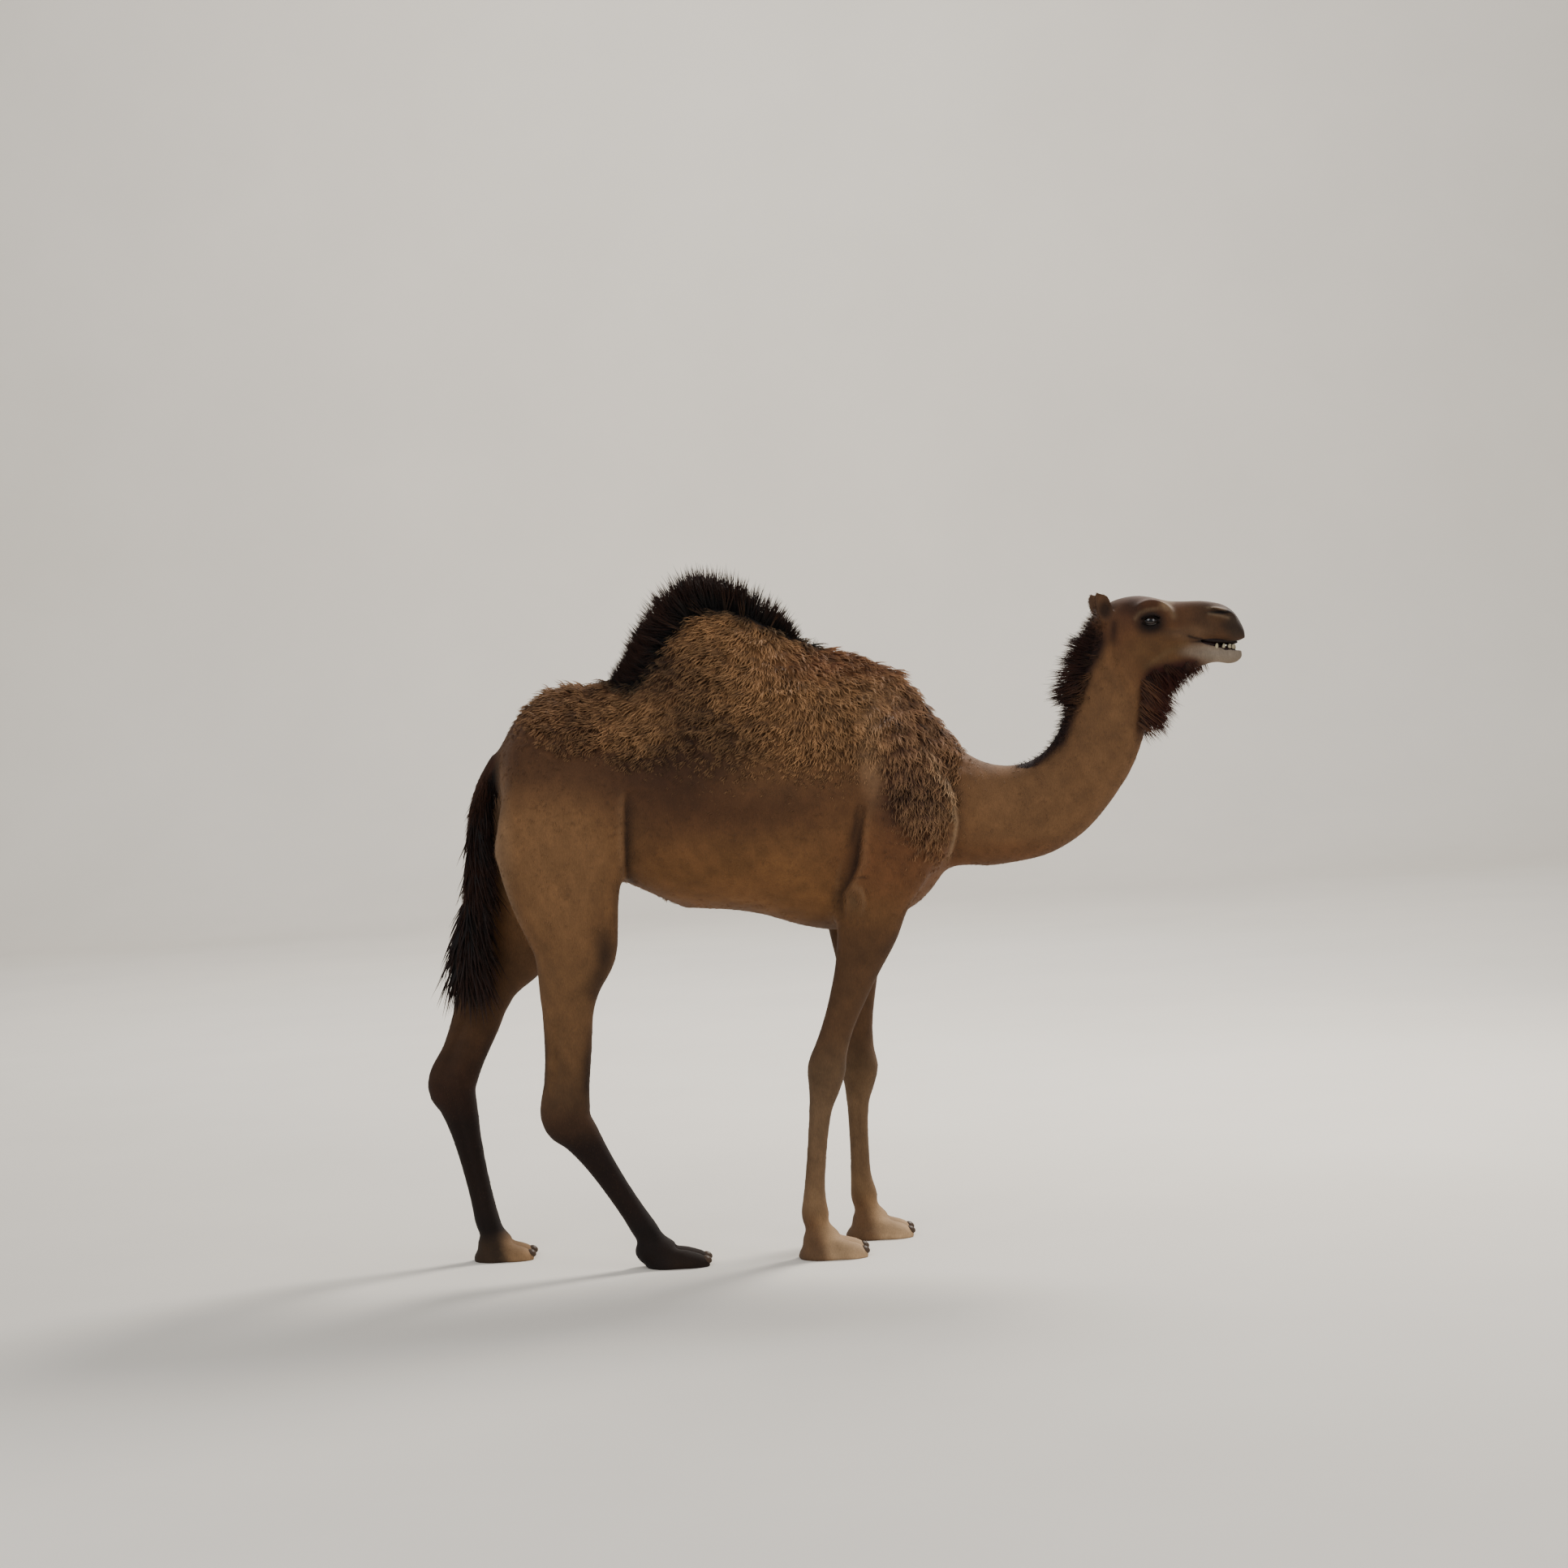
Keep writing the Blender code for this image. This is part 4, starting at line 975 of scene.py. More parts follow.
markings = {
    "base": tone(98, 65, 35),
    # colour, then oval patches of the side view: x, z, reach along x, reach along z, strength
    "patches": [
        (tone(76, 48, 26), [(-0.12, 1.36, 0.34, 0.13, 0.9), (-0.30, 1.50, 0.16, 0.20, 0.8)]),
        (tone(114, 76, 38), [(-0.10, 1.05, 0.40, 0.14, 0.9)]),
        (tone(114, 80, 47), [(-0.66, 1.16, 0.20, 0.26, 0.9)]),
        (tone(74, 47, 27), [(-0.62, 1.50, 0.22, 0.14, 0.8), (-0.45, 1.42, 0.10, 0.14, 0.5)]),
        (tone(122, 92, 62), [(-0.825, 1.26, 0.04, 0.20, 0.6)]),
        (tone(118, 82, 48), [(0.02, 1.62, 0.30, 0.22, 1.0), (-0.10, 1.76, 0.22, 0.10, 0.8)]),
        # darker behind the hump: the wool's own dark brown, deepened with painted shade
        (tone(54, 33, 18), [(-0.33, 1.60, 0.15, 0.22, 0.9), (-0.20, 1.48, 0.16, 0.10, 0.6)]),
        (tone(84, 54, 31), [(-0.54, 1.61, 0.22, 0.10, 0.9)]),
        (tone(112, 78, 46), [(-0.40, 1.56, 0.10, 0.08, 0.8)]),
        (tone(92, 62, 42), [(0.38, 1.42, 0.12, 0.26, 0.9)]),
        (tone(56, 33, 20), [(0.35, 1.29, 0.10, 0.12, 0.8)]),
        (tone(92, 52, 28), [(0.24, 1.71, 0.22, 0.06, 0.8)]),
        (tone(132, 98, 66), [(0.25, 1.46, 0.035, 0.14, 0.7)]),
        (tone(98, 60, 30), [(0.30, 1.12, 0.16, 0.10, 0.8)]),
        (tone(108, 76, 46), [(0.70, 1.26, 0.22, 0.16, 0.9), (0.94, 1.40, 0.12, 0.24, 0.9)]),
        (tone(100, 64, 34), [(0.62, 1.11, 0.20, 0.04, 0.7)]),
    ],
    # lines of the side view painted on the body: colour, width, strength, path
    "bodyStrokes": [
        # painted shade: dark line in the fold behind the shoulder
        (tone(52, 31, 17), 0.006, 0.60, [(0.205, 1.290), (0.196, 1.235), (0.180, 1.180)]),
        # painted highlight along the ridge behind the upper arm
        (tone(112, 80, 50), 0.005, 0.45, [(0.150, 1.130), (0.134, 1.080), (0.130, 1.030)]),
        # painted shade: dark line in the crease above the elbow pad
        (tone(44, 27, 15), 0.004, 0.70, [(0.184, 1.081), (0.205, 1.085), (0.224, 1.082)]),
        # painted highlight along the elbow pad's rim
        (tone(124, 94, 64), 0.005, 0.55, [(0.176, 1.066), (0.200, 1.052), (0.208, 1.016), (0.198, 0.980)]),
        (tone(92, 70, 46), 0.022, 0.60, [(0.176, 1.034), (0.176, 1.000)]),
        (tone(112, 76, 44), 0.012, 0.35, [(-0.300, 1.045), (-0.100, 1.010), (0.060, 0.985)]),
        (tone(132, 104, 74), 0.012, 0.50,
         [(-0.826, 1.380), (-0.832, 1.280), (-0.830, 1.190), (-0.806, 1.100), (-0.776, 1.010)]),
        # painted shade in the crease below the stifle
        (tone(56, 36, 21), 0.020, 0.55, [(-0.556, 0.970), (-0.548, 0.910), (-0.566, 0.840)]),
    ],
    # painted shade beyond each step of the skin, and a painted highlight on its rim: colour, reach, strength
    "stepShade": [
        (tone(30, 18, 10), 0.036, 0.88),
        (tone(30, 18, 10), 0.026, 0.90),
        (tone(56, 36, 21), 0.014, 0.50),
    ],
    "stepHighlight": [
        (tone(118, 84, 54), 0.008, 0.35),
        (tone(124, 90, 58), 0.008, 0.45),
        (tone(156, 126, 92), 0.006, 0.70),
    ],
    # dark down the front of the hind legs, above the hock
    "shinStrokes": [
        (tone(32, 19, 12), 0.018, 0.75, [(-0.590, 0.690), (-0.604, 0.600), (-0.612, 0.535), (-0.596, 0.470)]),
        (tone(32, 19, 12), 0.012, 0.75, [(-0.740, 0.740), (-0.732, 0.640), (-0.742, 0.540)]),
        (tone(32, 19, 12), 0.016, 0.75, [(-0.905, 0.660), (-0.935, 0.560), (-0.950, 0.480)]),
        # painted shade in the crease below the stifle, over the leg's own colour
        (tone(32, 19, 12), 0.026, 0.75, [(-0.540, 0.985), (-0.532, 0.925), (-0.545, 0.870), (-0.575, 0.800)]),
    ],
    # how strokes fade at their ends: first and last share, power
    "bodyFade": (0.06, 0.94, 0.4),
    "shinFade": (0.05, 0.75, 0.5),
    "crest": tone(15, 10, 8),
    # how deep the dark crest reaches down the hump: x, depth
    "stripe": [
        (-0.49, 0.0), (-0.45, 0.05), (-0.41, 0.12), (-0.35, 0.12), (-0.29, 0.085), (-0.22, 0.058),
        (-0.14, 0.043), (-0.05, 0.043), (0.03, 0.038), (0.12, 0.014), (0.20, 0.0),
    ],
    "nape": tone(34, 15, 9),
    "napeLine": [(0.700, 1.370), (0.790, 1.448), (0.868, 1.650), (0.932, 1.775)],
    "throat": tone(50, 20, 11),
    "throatLine": [(1.060, 1.400), (1.080, 1.500), (1.090, 1.600), (1.190, 1.615)],
    "tail": tone(15, 10, 8),
    "dock": tone(56, 32, 18),
    "head": tone(86, 55, 31),
    "headPatches": [
        (tone(90, 62, 34), [(1.10, 1.67, 0.10, 0.06, 0.9)]),
        (tone(74, 46, 29), [(1.03, 1.81, 0.09, 0.05, 0.8)]),
        (tone(70, 49, 31), [(1.28, 1.76, 0.09, 0.06, 0.9)]),
        (tone(56, 44, 34), [(1.335, 1.735, 0.035, 0.05, 0.9)]),
        # painted shade: the dark eye socket under the brow
        (tone(24, 14, 10), [(1.082, 1.755, 0.040, 0.031, 1.0)]),
        (tone(124, 110, 94), [(1.30, 1.650, 0.075, 0.028, 1.0), (1.22, 1.668, 0.05, 0.020, 0.6)]),
        (tone(96, 72, 50), [(1.19, 1.72, 0.06, 0.02, 0.5)]),
        # painted shade inside the nostril's slit
        (tone(22, 14, 11), [(1.286, 1.7745, 0.036, 0.0055, 1.0)]),
        # painted shade along the gap of the mouth
        (tone(24, 14, 11), [(1.250, 1.694, 0.045, 0.0050, 1.0), (1.308, 1.687, 0.032, 0.0040, 0.9)]),
        # painted shade along the fold behind the jaw
        (tone(58, 36, 22), [(0.972, 1.66, 0.018, 0.11, 0.6)]),
        (tone(48, 31, 21), [(1.030, 1.803, 0.032, 0.022, 0.6)]),
        # painted highlight on the front of the brow
        (tone(134, 106, 76), [(1.128, 1.806, 0.018, 0.016, 0.65)]),
        (tone(88, 62, 42), [(0.940, 1.825, 0.045, 0.050, 0.9)]),
        (tone(40, 25, 17), [(0.952, 1.802, 0.018, 0.026, 0.8)]),
    ],
    # legs: height above the fetlock, as a share of the cannon's height, and the colour there
    "fore": [
        (3.2, tone(90, 60, 33)), (1.9, tone(80, 54, 31)), (1.25, tone(86, 60, 37)),
        (1.0, tone(96, 72, 48)), (0.75, tone(102, 78, 54)), (0.3, tone(106, 80, 54)),
        # the feet's pale tan: their own colour, brightened with painted sunlight on their tops
        (0.0, tone(120, 91, 60)), (-0.12, tone(156, 122, 84)), (-0.3, tone(180, 145, 105)),
    ],
    # the right hind foot stays dark out to its toes: painted shade
    "hindRight": [
        (2.4, tone(108, 76, 45)), (1.45, tone(98, 69, 41)), (1.14, tone(82, 58, 36)),
        (0.96, tone(66, 44, 27)), (0.74, tone(34, 20, 12)), (0.0, tone(28, 17, 10)),
        (-0.3, tone(40, 27, 18)),
    ],
    # the left hind toes: pale tan, lightened further with painted sunlight
    "hindLeft": [
        (2.4, tone(92, 64, 38)), (1.45, tone(76, 52, 31)), (1.12, tone(60, 39, 24)),
        (0.92, tone(48, 29, 18)), (0.7, tone(32, 19, 12)), (-0.06, tone(34, 21, 13)),
        (-0.14, tone(120, 90, 58)), (-0.3, tone(148, 114, 78)),
    ],
    # lines of the side view painted on the head: colour, width, strength, path
    "headStrokes": [
        # painted highlights: pale arcs over the eye, on the front of the brow and on the forehead's top
        (tone(112, 90, 64), 0.0060, 0.45, [(1.036, 1.771), (1.050, 1.786), (1.072, 1.793), (1.104, 1.797)]),
        (tone(128, 102, 72), 0.0100, 0.45, [(1.128, 1.806), (1.142, 1.792), (1.149, 1.772)]),
        (tone(132, 106, 74), 0.0080, 0.50, [(1.094, 1.835), (1.122, 1.828), (1.150, 1.815)]),
        # painted highlights on the rims above and below the nostril
        (tone(112, 92, 70), 0.0040, 0.70, [(1.250, 1.790), (1.275, 1.789), (1.300, 1.782)]),
        (tone(104, 84, 62), 0.0045, 0.60, [(1.252, 1.772), (1.280, 1.765), (1.306, 1.757)]),
        (tone(98, 74, 46), 0.0090, 0.50, [(1.180, 1.690), (1.120, 1.668), (1.060, 1.628)]),
        # painted shade along the fold behind the jaw
        (tone(38, 22, 14), 0.0090, 0.60, [(0.975, 1.760), (0.964, 1.690), (0.972, 1.620), (1.006, 1.550)]),
        (tone(44, 28, 19), 0.0120, 0.45, [(1.290, 1.738), (1.330, 1.728), (1.348, 1.712)]),
        # painted shade in the crease at the mouth's corner
        (tone(28, 17, 12), 0.0040, 0.80, [(1.228, 1.7000), (1.208, 1.7045), (1.190, 1.7110)]),
    ],
    "heel": {"fore": tone(92, 64, 40), "hind": tone(26, 16, 11)},
    "mottle": 0.10,
    "greying": 0.10,  # share of the colour given up, and how bright the rest is kept
    "level": 0.80,
}


def mix(below, above, amount):
    return below + (above - below) * np.asarray(amount)[..., None]


def paintPatches(places, colours, patches):
    for colour, ovals in patches:
        for x, z, reachX, reachZ, strength in ovals:
            colours = mix(colours, colour, blob(places, x, z, reachX, reachZ, 0.6) * strength)
    return colours


def paintStrokes(places, colours, strokes, fading=None):
    for colour, width, strength, path in strokes:
        near, share = pathDistance(places, path)
        fade = fadeEnds(share, *fading) if fading else 1.0
        colours = mix(colours, colour, bell(near, width) * strength * fade)
    return colours


def legColour(places, colours):
    legSkin = 1 - ramp(places[:, 2], 0.86, 1.02)
    for side, end, joints, _, _ in allLegs():
        middle, lower = joints[-3:-1]
        rows = markings["fore" if end == "fore" else end + side.capitalize()][::-1]
        height = (places[:, 2] - lower[2]) / (middle[2] - lower[2])
        marks = [row[0] for row in rows]
        leg = np.stack([np.interp(height, marks, [row[1][i] for row in rows]) for i in range(3)], 1)
        front = end == "fore"
        mine = ((places[:, 0] > -0.20) == front) & ((places[:, 1] < 0) == (side == "right"))
        colours = mix(colours, leg, legSkin * mine)
        ahead = places[:, 0] - lower[0] + 0.25 * (places[:, 2] - 0.05) - (0.0 if front else 0.022)
        heel = (1 - ramp(ahead, 0.005, 0.050)) * (1 - ramp(places[:, 2], 0.10, 0.16))
        colours = mix(colours, markings["heel"][end], heel * mine * 0.9)
    return paintStrokes(places, colours, markings["shinStrokes"], markings["shinFade"])


def ridgeLine(x):  # height of the hump's back, for the dark stripe
    rows = np.array(bodyShape["trunk"])
    return np.interp(x, rows[:, 0], rows[:, 1])


def markingColours(places):
    x, y, z = places.T
    colours = np.tile(markings["base"], (len(places), 1))
    colours = paintPatches(places, colours, markings["patches"])
    colours = paintStrokes(places, colours, markings["bodyStrokes"], markings["bodyFade"])
    flank = ramp(np.abs(y), 0.05, 0.09)
    # painted shade beyond each step, and a painted highlight along its proud rim
    for (path, way, _, _), shade, rim in zip(folds["steps"], markings["stepShade"], markings["stepHighlight"]):
        beyond, fade = besideStep(places, path, way)
        colour, reach, strength = shade
        dark = ramp(beyond, -0.002, 0.006) * bell(np.maximum(beyond, 0), reach)
        colours = mix(colours, colour, dark * fade * strength * flank)
        colour, reach, strength = rim
        light = bell(beyond + reach * 1.2, reach)
        colours = mix(colours, colour, light * fade * strength * flank)
    under = ridgeLine(x) - z
    stripe = valueAt(x, markings["stripe"])
    crest = (1 - ramp(under - 0.014, stripe * 0.7, stripe + 0.002)) * (stripe > 0.004) * (z > 1.6)
    colours = mix(colours, markings["crest"], crest)
    colours = legColour(places, colours)
    # the nape above the neck's own back line, and the throat's beard
    nape, napeShare = pathDistance(places, markings["napeLine"])
    band = 0.030 + 0.035 * napeShare
    colours = mix(colours, markings["nape"], (1 - ramp(nape, band * 0.5, band * 1.2)) * (z > 1.36))
    throat, _ = pathDistance(places, markings["throatLine"])
    colours = mix(colours, markings["throat"], (1 - ramp(throat, 0.032, 0.060)) * ramp(z, 1.40, 1.48))
    onHead = ramp(headLine(places), -0.03, 0.03)
    head = np.tile(markings["head"], (len(places), 1))
    head = paintPatches(places, head, markings["headPatches"])
    head = paintStrokes(places, head, markings["headStrokes"])
    head = mix(head, markings["throat"], 1 - ramp(throat, 0.016, 0.048))
    colours = mix(colours, head, onHead)
    dock = (x < -0.79) & (np.abs(y) < 0.06) & (z < 1.56)
    dockRows = np.array(bodyShape["dock"])[::-1]
    behind = np.interp(z, dockRows[:, 2], dockRows[:, 0]) - x
    outer = ramp(behind, -0.002, 0.012) * ramp(z, 1.0, 1.15)
    tail = mix(np.tile(markings["tail"], (len(places), 1)), markings["dock"], outer)
    colours = mix(colours, tail, ramp(-x, 0.80, 0.84) * dock)
    mottle = 1 + markings["mottle"] * (ripple(places, 0.16, 3) + ripple(places, 0.05, 4))
    grey = (colours @ np.array([0.3, 0.6, 0.1]))[:, None]
    colours = (colours + (grey - colours) * markings["greying"]) * markings["level"]
    return np.clip(colours * mottle[:, None], 0, 1)


def storeColour(mesh, name, colours):
    layer = mesh.attributes.new(name, "FLOAT_COLOR", "POINT")
    layer.data.foreach_set("color", np.hstack([colours, np.ones((len(colours), 1))]).ravel())


storeColour(skin.data, "mark", markingColours(vertexPlaces(skin.data)))
report("markings")


# finishes

def newMaterial(name, roughness, sheen=0.0):
    material = bpy.data.materials.new(name)
    material.use_nodes = True
    tree = material.node_tree
    shader = tree.nodes["Principled BSDF"]
    shader.inputs["Roughness"].default_value = roughness
    shader.inputs["Specular IOR Level"].default_value = 0.20
    shader.inputs["Sheen Weight"].default_value = sheen
    return material, tree, shader


def addNode(tree, kind, settings=None, links=None, **values):
    node = tree.nodes.new(kind)
    for name, value in (settings or {}).items():
        setattr(node, name, value)
    for name, value in values.items():
        node.inputs[name].default_value = value
    for name, source in (links or {}).items():
        tree.links.new(source, node.inputs[name])
    return node


def link(tree, source, target):
    tree.links.new(source, target)


def attributeNode(tree, name):
    return addNode(tree, "ShaderNodeAttribute", {"attribute_name": name})


def scaledNoise(tree, stretch, size, detail=4.0):  # noise stretched along the body's axes
    where = addNode(tree, "ShaderNodeTexCoord").outputs["Object"]
    turn = addNode(tree, "ShaderNodeMapping", None, {"Vector": where}, Scale=stretch).outputs["Vector"]
    return addNode(
        tree, "ShaderNodeTexNoise", None, {"Vector": turn}, Scale=size, Detail=detail, Roughness=0.6
    ).outputs["Fac"]


def times(tree, a, b):  # colour times a grey value
    return addNode(tree, "ShaderNodeVectorMath", {"operation": "SCALE"}, {0: a, "Scale": b}).outputs[0]


def remap(tree, value, low, high, fromLow=0.0, fromHigh=1.0):
    limits = {"From Min": fromLow, "From Max": fromHigh, "To Min": low, "To Max": high}
    return addNode(tree, "ShaderNodeMapRange", None, {"Value": value}, **limits).outputs["Result"]


def blend(tree, amount, first, second):  # each is a colour or another node's output
    node = addNode(tree, "ShaderNodeMix", {"data_type": "RGBA"}, {0: amount})
    for slot, value in ((6, first), (7, second)):
        if isinstance(value, np.ndarray):
            node.inputs[slot].default_value = (*value, 1)
        else:
            link(tree, value, node.inputs[slot])
    return node.outputs[2]


def addBump(tree, shader, height, strength, distance):
    bump = addNode(
        tree, "ShaderNodeBump", None, {"Height": height}, Strength=strength, Distance=distance
    )
    link(tree, bump.outputs["Normal"], shader.inputs["Normal"])


skinFinish = {
    "roughness": 0.82, "sheen": 0.03, "hairSize": 420.0, "blotchSize": 38.0, "bump": 0.0012,
    # how dark and how light the noise makes the colour, and for blotches the noise's own range
    "fine": (0.62, 1.34), "broad": (0.90, 1.10, 0.3, 0.7),
}


def makeSkinMaterial():
    material, tree, shader = newMaterial("camelSkin", skinFinish["roughness"], skinFinish["sheen"])
    mark = attributeNode(tree, "mark")
    hairs = scaledNoise(tree, (1.0, 1.0, 0.22), skinFinish["hairSize"], 3.0)
    blotch = scaledNoise(tree, (1.0, 1.0, 0.7), skinFinish["blotchSize"], 5.0)
    fine = remap(tree, hairs, *skinFinish["fine"])
    broad = remap(tree, blotch, *skinFinish["broad"])
    colour = times(tree, times(tree, mark.outputs["Color"], fine), broad)
    link(tree, colour, shader.inputs["Base Color"])
    addBump(tree, shader, hairs, 0.6, skinFinish["bump"])
    return material


coatFinish = {"roughness": 0.70, "sheen": 0.03}


def makeCoatMaterial(name, rootShade, tipHighlight, tipTint, tinted, spread):
    material, tree, shader = newMaterial(name, coatFinish["roughness"], coatFinish["sheen"])
    mark = attributeNode(tree, "mark")
    along = attributeNode(tree, "along")
    shade = attributeNode(tree, "shade")
    # towards the tip the colour goes to a paler tint: sun-bleached hair, and for the dark hair also painted
    # sunlight shining through
    sun = remap(tree, along.outputs["Fac"], 0.0, tinted, 0.35, 1.0)
    tint = blend(tree, sun, mark.outputs["Color"], tipTint)
    # darker roots and brighter tips: painted shade between the locks and a painted highlight on their tips
    rise = remap(tree, along.outputs["Fac"], rootShade, tipHighlight, 0.0, 0.8)
    each = remap(tree, shade.outputs["Fac"], 1 - spread, 1 + spread)
    colour = times(tree, times(tree, tint, rise), each)
    link(tree, colour, shader.inputs["Base Color"])
    return material


skin.data.materials.append(makeSkinMaterial())
skin.data.shade_smooth()


# the pelt: a lighter copy of the skin that the tufts grow from

pelt = {"triangles": 52000, "seamAngle": 1.15, "islandMargin": 0.0015}


def buildPelt():
    item = place("pelt", skin.data.copy())
    thinOut(item, pelt["triangles"])
    bpy.ops.object.select_all(action="DESELECT")
    bpy.context.view_layer.objects.active = item
    item.select_set(True)
    bpy.ops.object.mode_set(mode="EDIT")
    bpy.ops.mesh.select_all(action="SELECT")
    bpy.ops.uv.smart_project(angle_limit=pelt["seamAngle"], island_margin=pelt["islandMargin"])
    bpy.ops.object.mode_set(mode="OBJECT")
    item.data.uv_layers.active.name = "unwrap"
    if "mark" not in item.data.attributes:
        storeColour(item.data, "mark", markingColours(vertexPlaces(item.data)))
    return item


peltItem = buildPelt()
peltPlaces = vertexPlaces(peltItem.data)
peltNormals = vertexNormals(peltItem.data)
report("pelt")

# which way the hair lies in the side view: x, z, reach, then the direction
lieGuides = [
    (1.34, 1.74, 0.05, -0.9, 0.30), (1.25, 1.76, 0.08, -1.0, 0.05), (1.14, 1.80, 0.06, -1.0, 0.10),
    (1.02, 1.83, 0.08, -1.0, 0.20), (1.12, 1.68, 0.07, -0.9, -0.35), (1.04, 1.62, 0.07, -0.6, -0.8),
    (1.29, 1.65, 0.05, -1.0, -0.25), (0.93, 1.66, 0.09, -0.25, -1.0), (0.94, 1.45, 0.12, -0.35, -0.95),
    (0.82, 1.27, 0.12, -0.75, -0.65), (0.64, 1.22, 0.12, -1.0, -0.15), (0.50, 1.40, 0.07, -0.6, -0.8),
    (0.42, 1.45, 0.10, -0.05, -1.0), (0.40, 1.20, 0.10, -0.10, -1.0), (0.27, 1.05, 0.12, -0.05, -1.0),
    (0.30, 1.62, 0.09, 0.40, -0.92), (0.16, 1.68, 0.08, 0.70, -0.70), (0.02, 1.74, 0.09, 0.45, -0.90),
    (0.18, 1.52, 0.09, 0.20, -1.0), (-0.16, 1.83, 0.09, -0.85, -0.40), (-0.14, 1.66, 0.10, -0.75, -0.60),
    (-0.12, 1.50, 0.12, -0.60, -0.80), (-0.36, 1.72, 0.10, -0.45, -0.90), (-0.10, 1.28, 0.20, -0.80, -0.60),
    (-0.10, 1.00, 0.16, -1.0, -0.05), (-0.55, 1.60, 0.12, -0.90, -0.40), (-0.75, 1.50, 0.10, -0.35, -0.95),
    (-0.64, 1.22, 0.18, -0.15, -1.0), (-0.60, 0.80, 0.25, 0.0, -1.0), (-0.95, 0.70, 0.25, -0.1, -1.0),
    (0.10, 0.60, 0.25, -0.05, -1.0), (0.10, 0.20, 0.25, 0.0, -1.0), (-0.60, 0.30, 0.25, 0.2, -1.0),
    (-0.88, 1.20, 0.08, -0.05, -1.0),
]


def unit(vectors):
    return vectors / np.linalg.norm(vectors, axis=1)[:, None].clip(1e-9)


def lieOfCoat(places, normals):
    side = places[:, [0, 2]]
    total = np.zeros((len(places), 3))
    for x, z, reach, alongX, alongZ in lieGuides:
        weight = np.exp(-(((side[:, 0] - x) ** 2 + (side[:, 1] - z) ** 2) / (2 * reach**2)))
        direction = np.array([alongX, 0, alongZ]) / math.hypot(alongX, alongZ)
        total += (weight + 1e-6)[:, None] * direction
    flow = unit(total)
    flow[:, 1] += 0.15 * np.sign(places[:, 1]) * ramp(places[:, 0], 1.30, 1.34)
    flow -= normals * np.sum(flow * normals, axis=1)[:, None]
    return unit(flow)


peltLie = unit(relax(peltItem.data, lieOfCoat(peltPlaces, peltNormals), 3, 0.5))


def setField(name, kind, values):
    attributes = peltItem.data.attributes
    layer = attributes.get(name) or attributes.new(name, kind, "POINT")
    layer.data.foreach_set("vector" if kind == "FLOAT_VECTOR" else "value", np.asarray(values, float).ravel())


# locks of hair: a few tapering strands, one unit long, lying along X with Z away from the skin

def lockMesh(shape, seed):
    random = np.random.default_rng(seed)
    bm = bmesh.new()
    alongLayer = bm.verts.layers.float.new("along")
    acrossLayer = bm.verts.layers.float.new("across")
    for _ in range(shape["strands"]):
        offset = Vector((random.uniform(-0.12, 0.12), random.uniform(-1, 1) * shape["spread"], 0))
        yaw = random.uniform(-1, 1) * shape["fan"]
        length = random.uniform(0.7, 1.0)
        rise = random.uniform(0.6, 1.3) * shape["arch"]
        phase = random.uniform(0, 2 * math.pi)
        swirl = shape["wave"] * random.uniform(0.6, 1.2)
        rings = []
        for k in range(shape["segments"] + 1):
            t = k / shape["segments"]
            bend = swirl * (math.sin(2 * math.pi * shape["turns"] * t + phase) - math.sin(phase))
            lift = rise * math.sin(math.pi * min(1.0, t * 0.8)) + swirl * 0.6 * t * math.cos(phase + 5 * t)
            across = length * t * math.sin(yaw) + bend * t
            middle = offset + Vector((length * t * math.cos(yaw), across, lift))
            radius = shape["width"] * (1 - t) ** shape["taper"] if k < shape["segments"] else 0
            if radius == 0:
                rings.append([bm.verts.new(middle)])
                rings[-1][0][alongLayer], rings[-1][0][acrossLayer] = 1.0, 0.5
                continue
            ring = []
            for side in range(3):
                a = 2 * math.pi * side / 3 + math.pi / 2
                rim = Vector((0, math.cos(a) * radius, math.sin(a) * radius * shape["flat"]))
                vertex = bm.verts.new(middle + rim)
                vertex[alongLayer] = t + (0.08 if side == 0 and k == 0 else 0)
                vertex[acrossLayer] = (0.5, 0.0, 1.0)[side]
                ring.append(vertex)
            rings.append(ring)
        bm.faces.new(rings[0][::-1])
        for low, high in zip(rings, rings[1:]):
            for side in range(3):
                near = (side + 1) % 3
                if len(high) == 3:
                    bm.faces.new((low[side], low[near], high[near], high[side]))
                else:
                    bm.faces.new((low[side], low[near], high[0]))
    bmesh.ops.recalc_face_normals(bm, faces=bm.faces)
    bmesh.ops.triangulate(bm, faces=bm.faces[:])
    return finishMesh(bm)


def lockFamily(name, shape, kinds=4):
    family = bpy.data.collections.new(name)
    for k in range(kinds):
        lock = bpy.data.objects.new(name + str(k), lockMesh(shape, 40 + k))
        family.objects.link(lock)
    return family


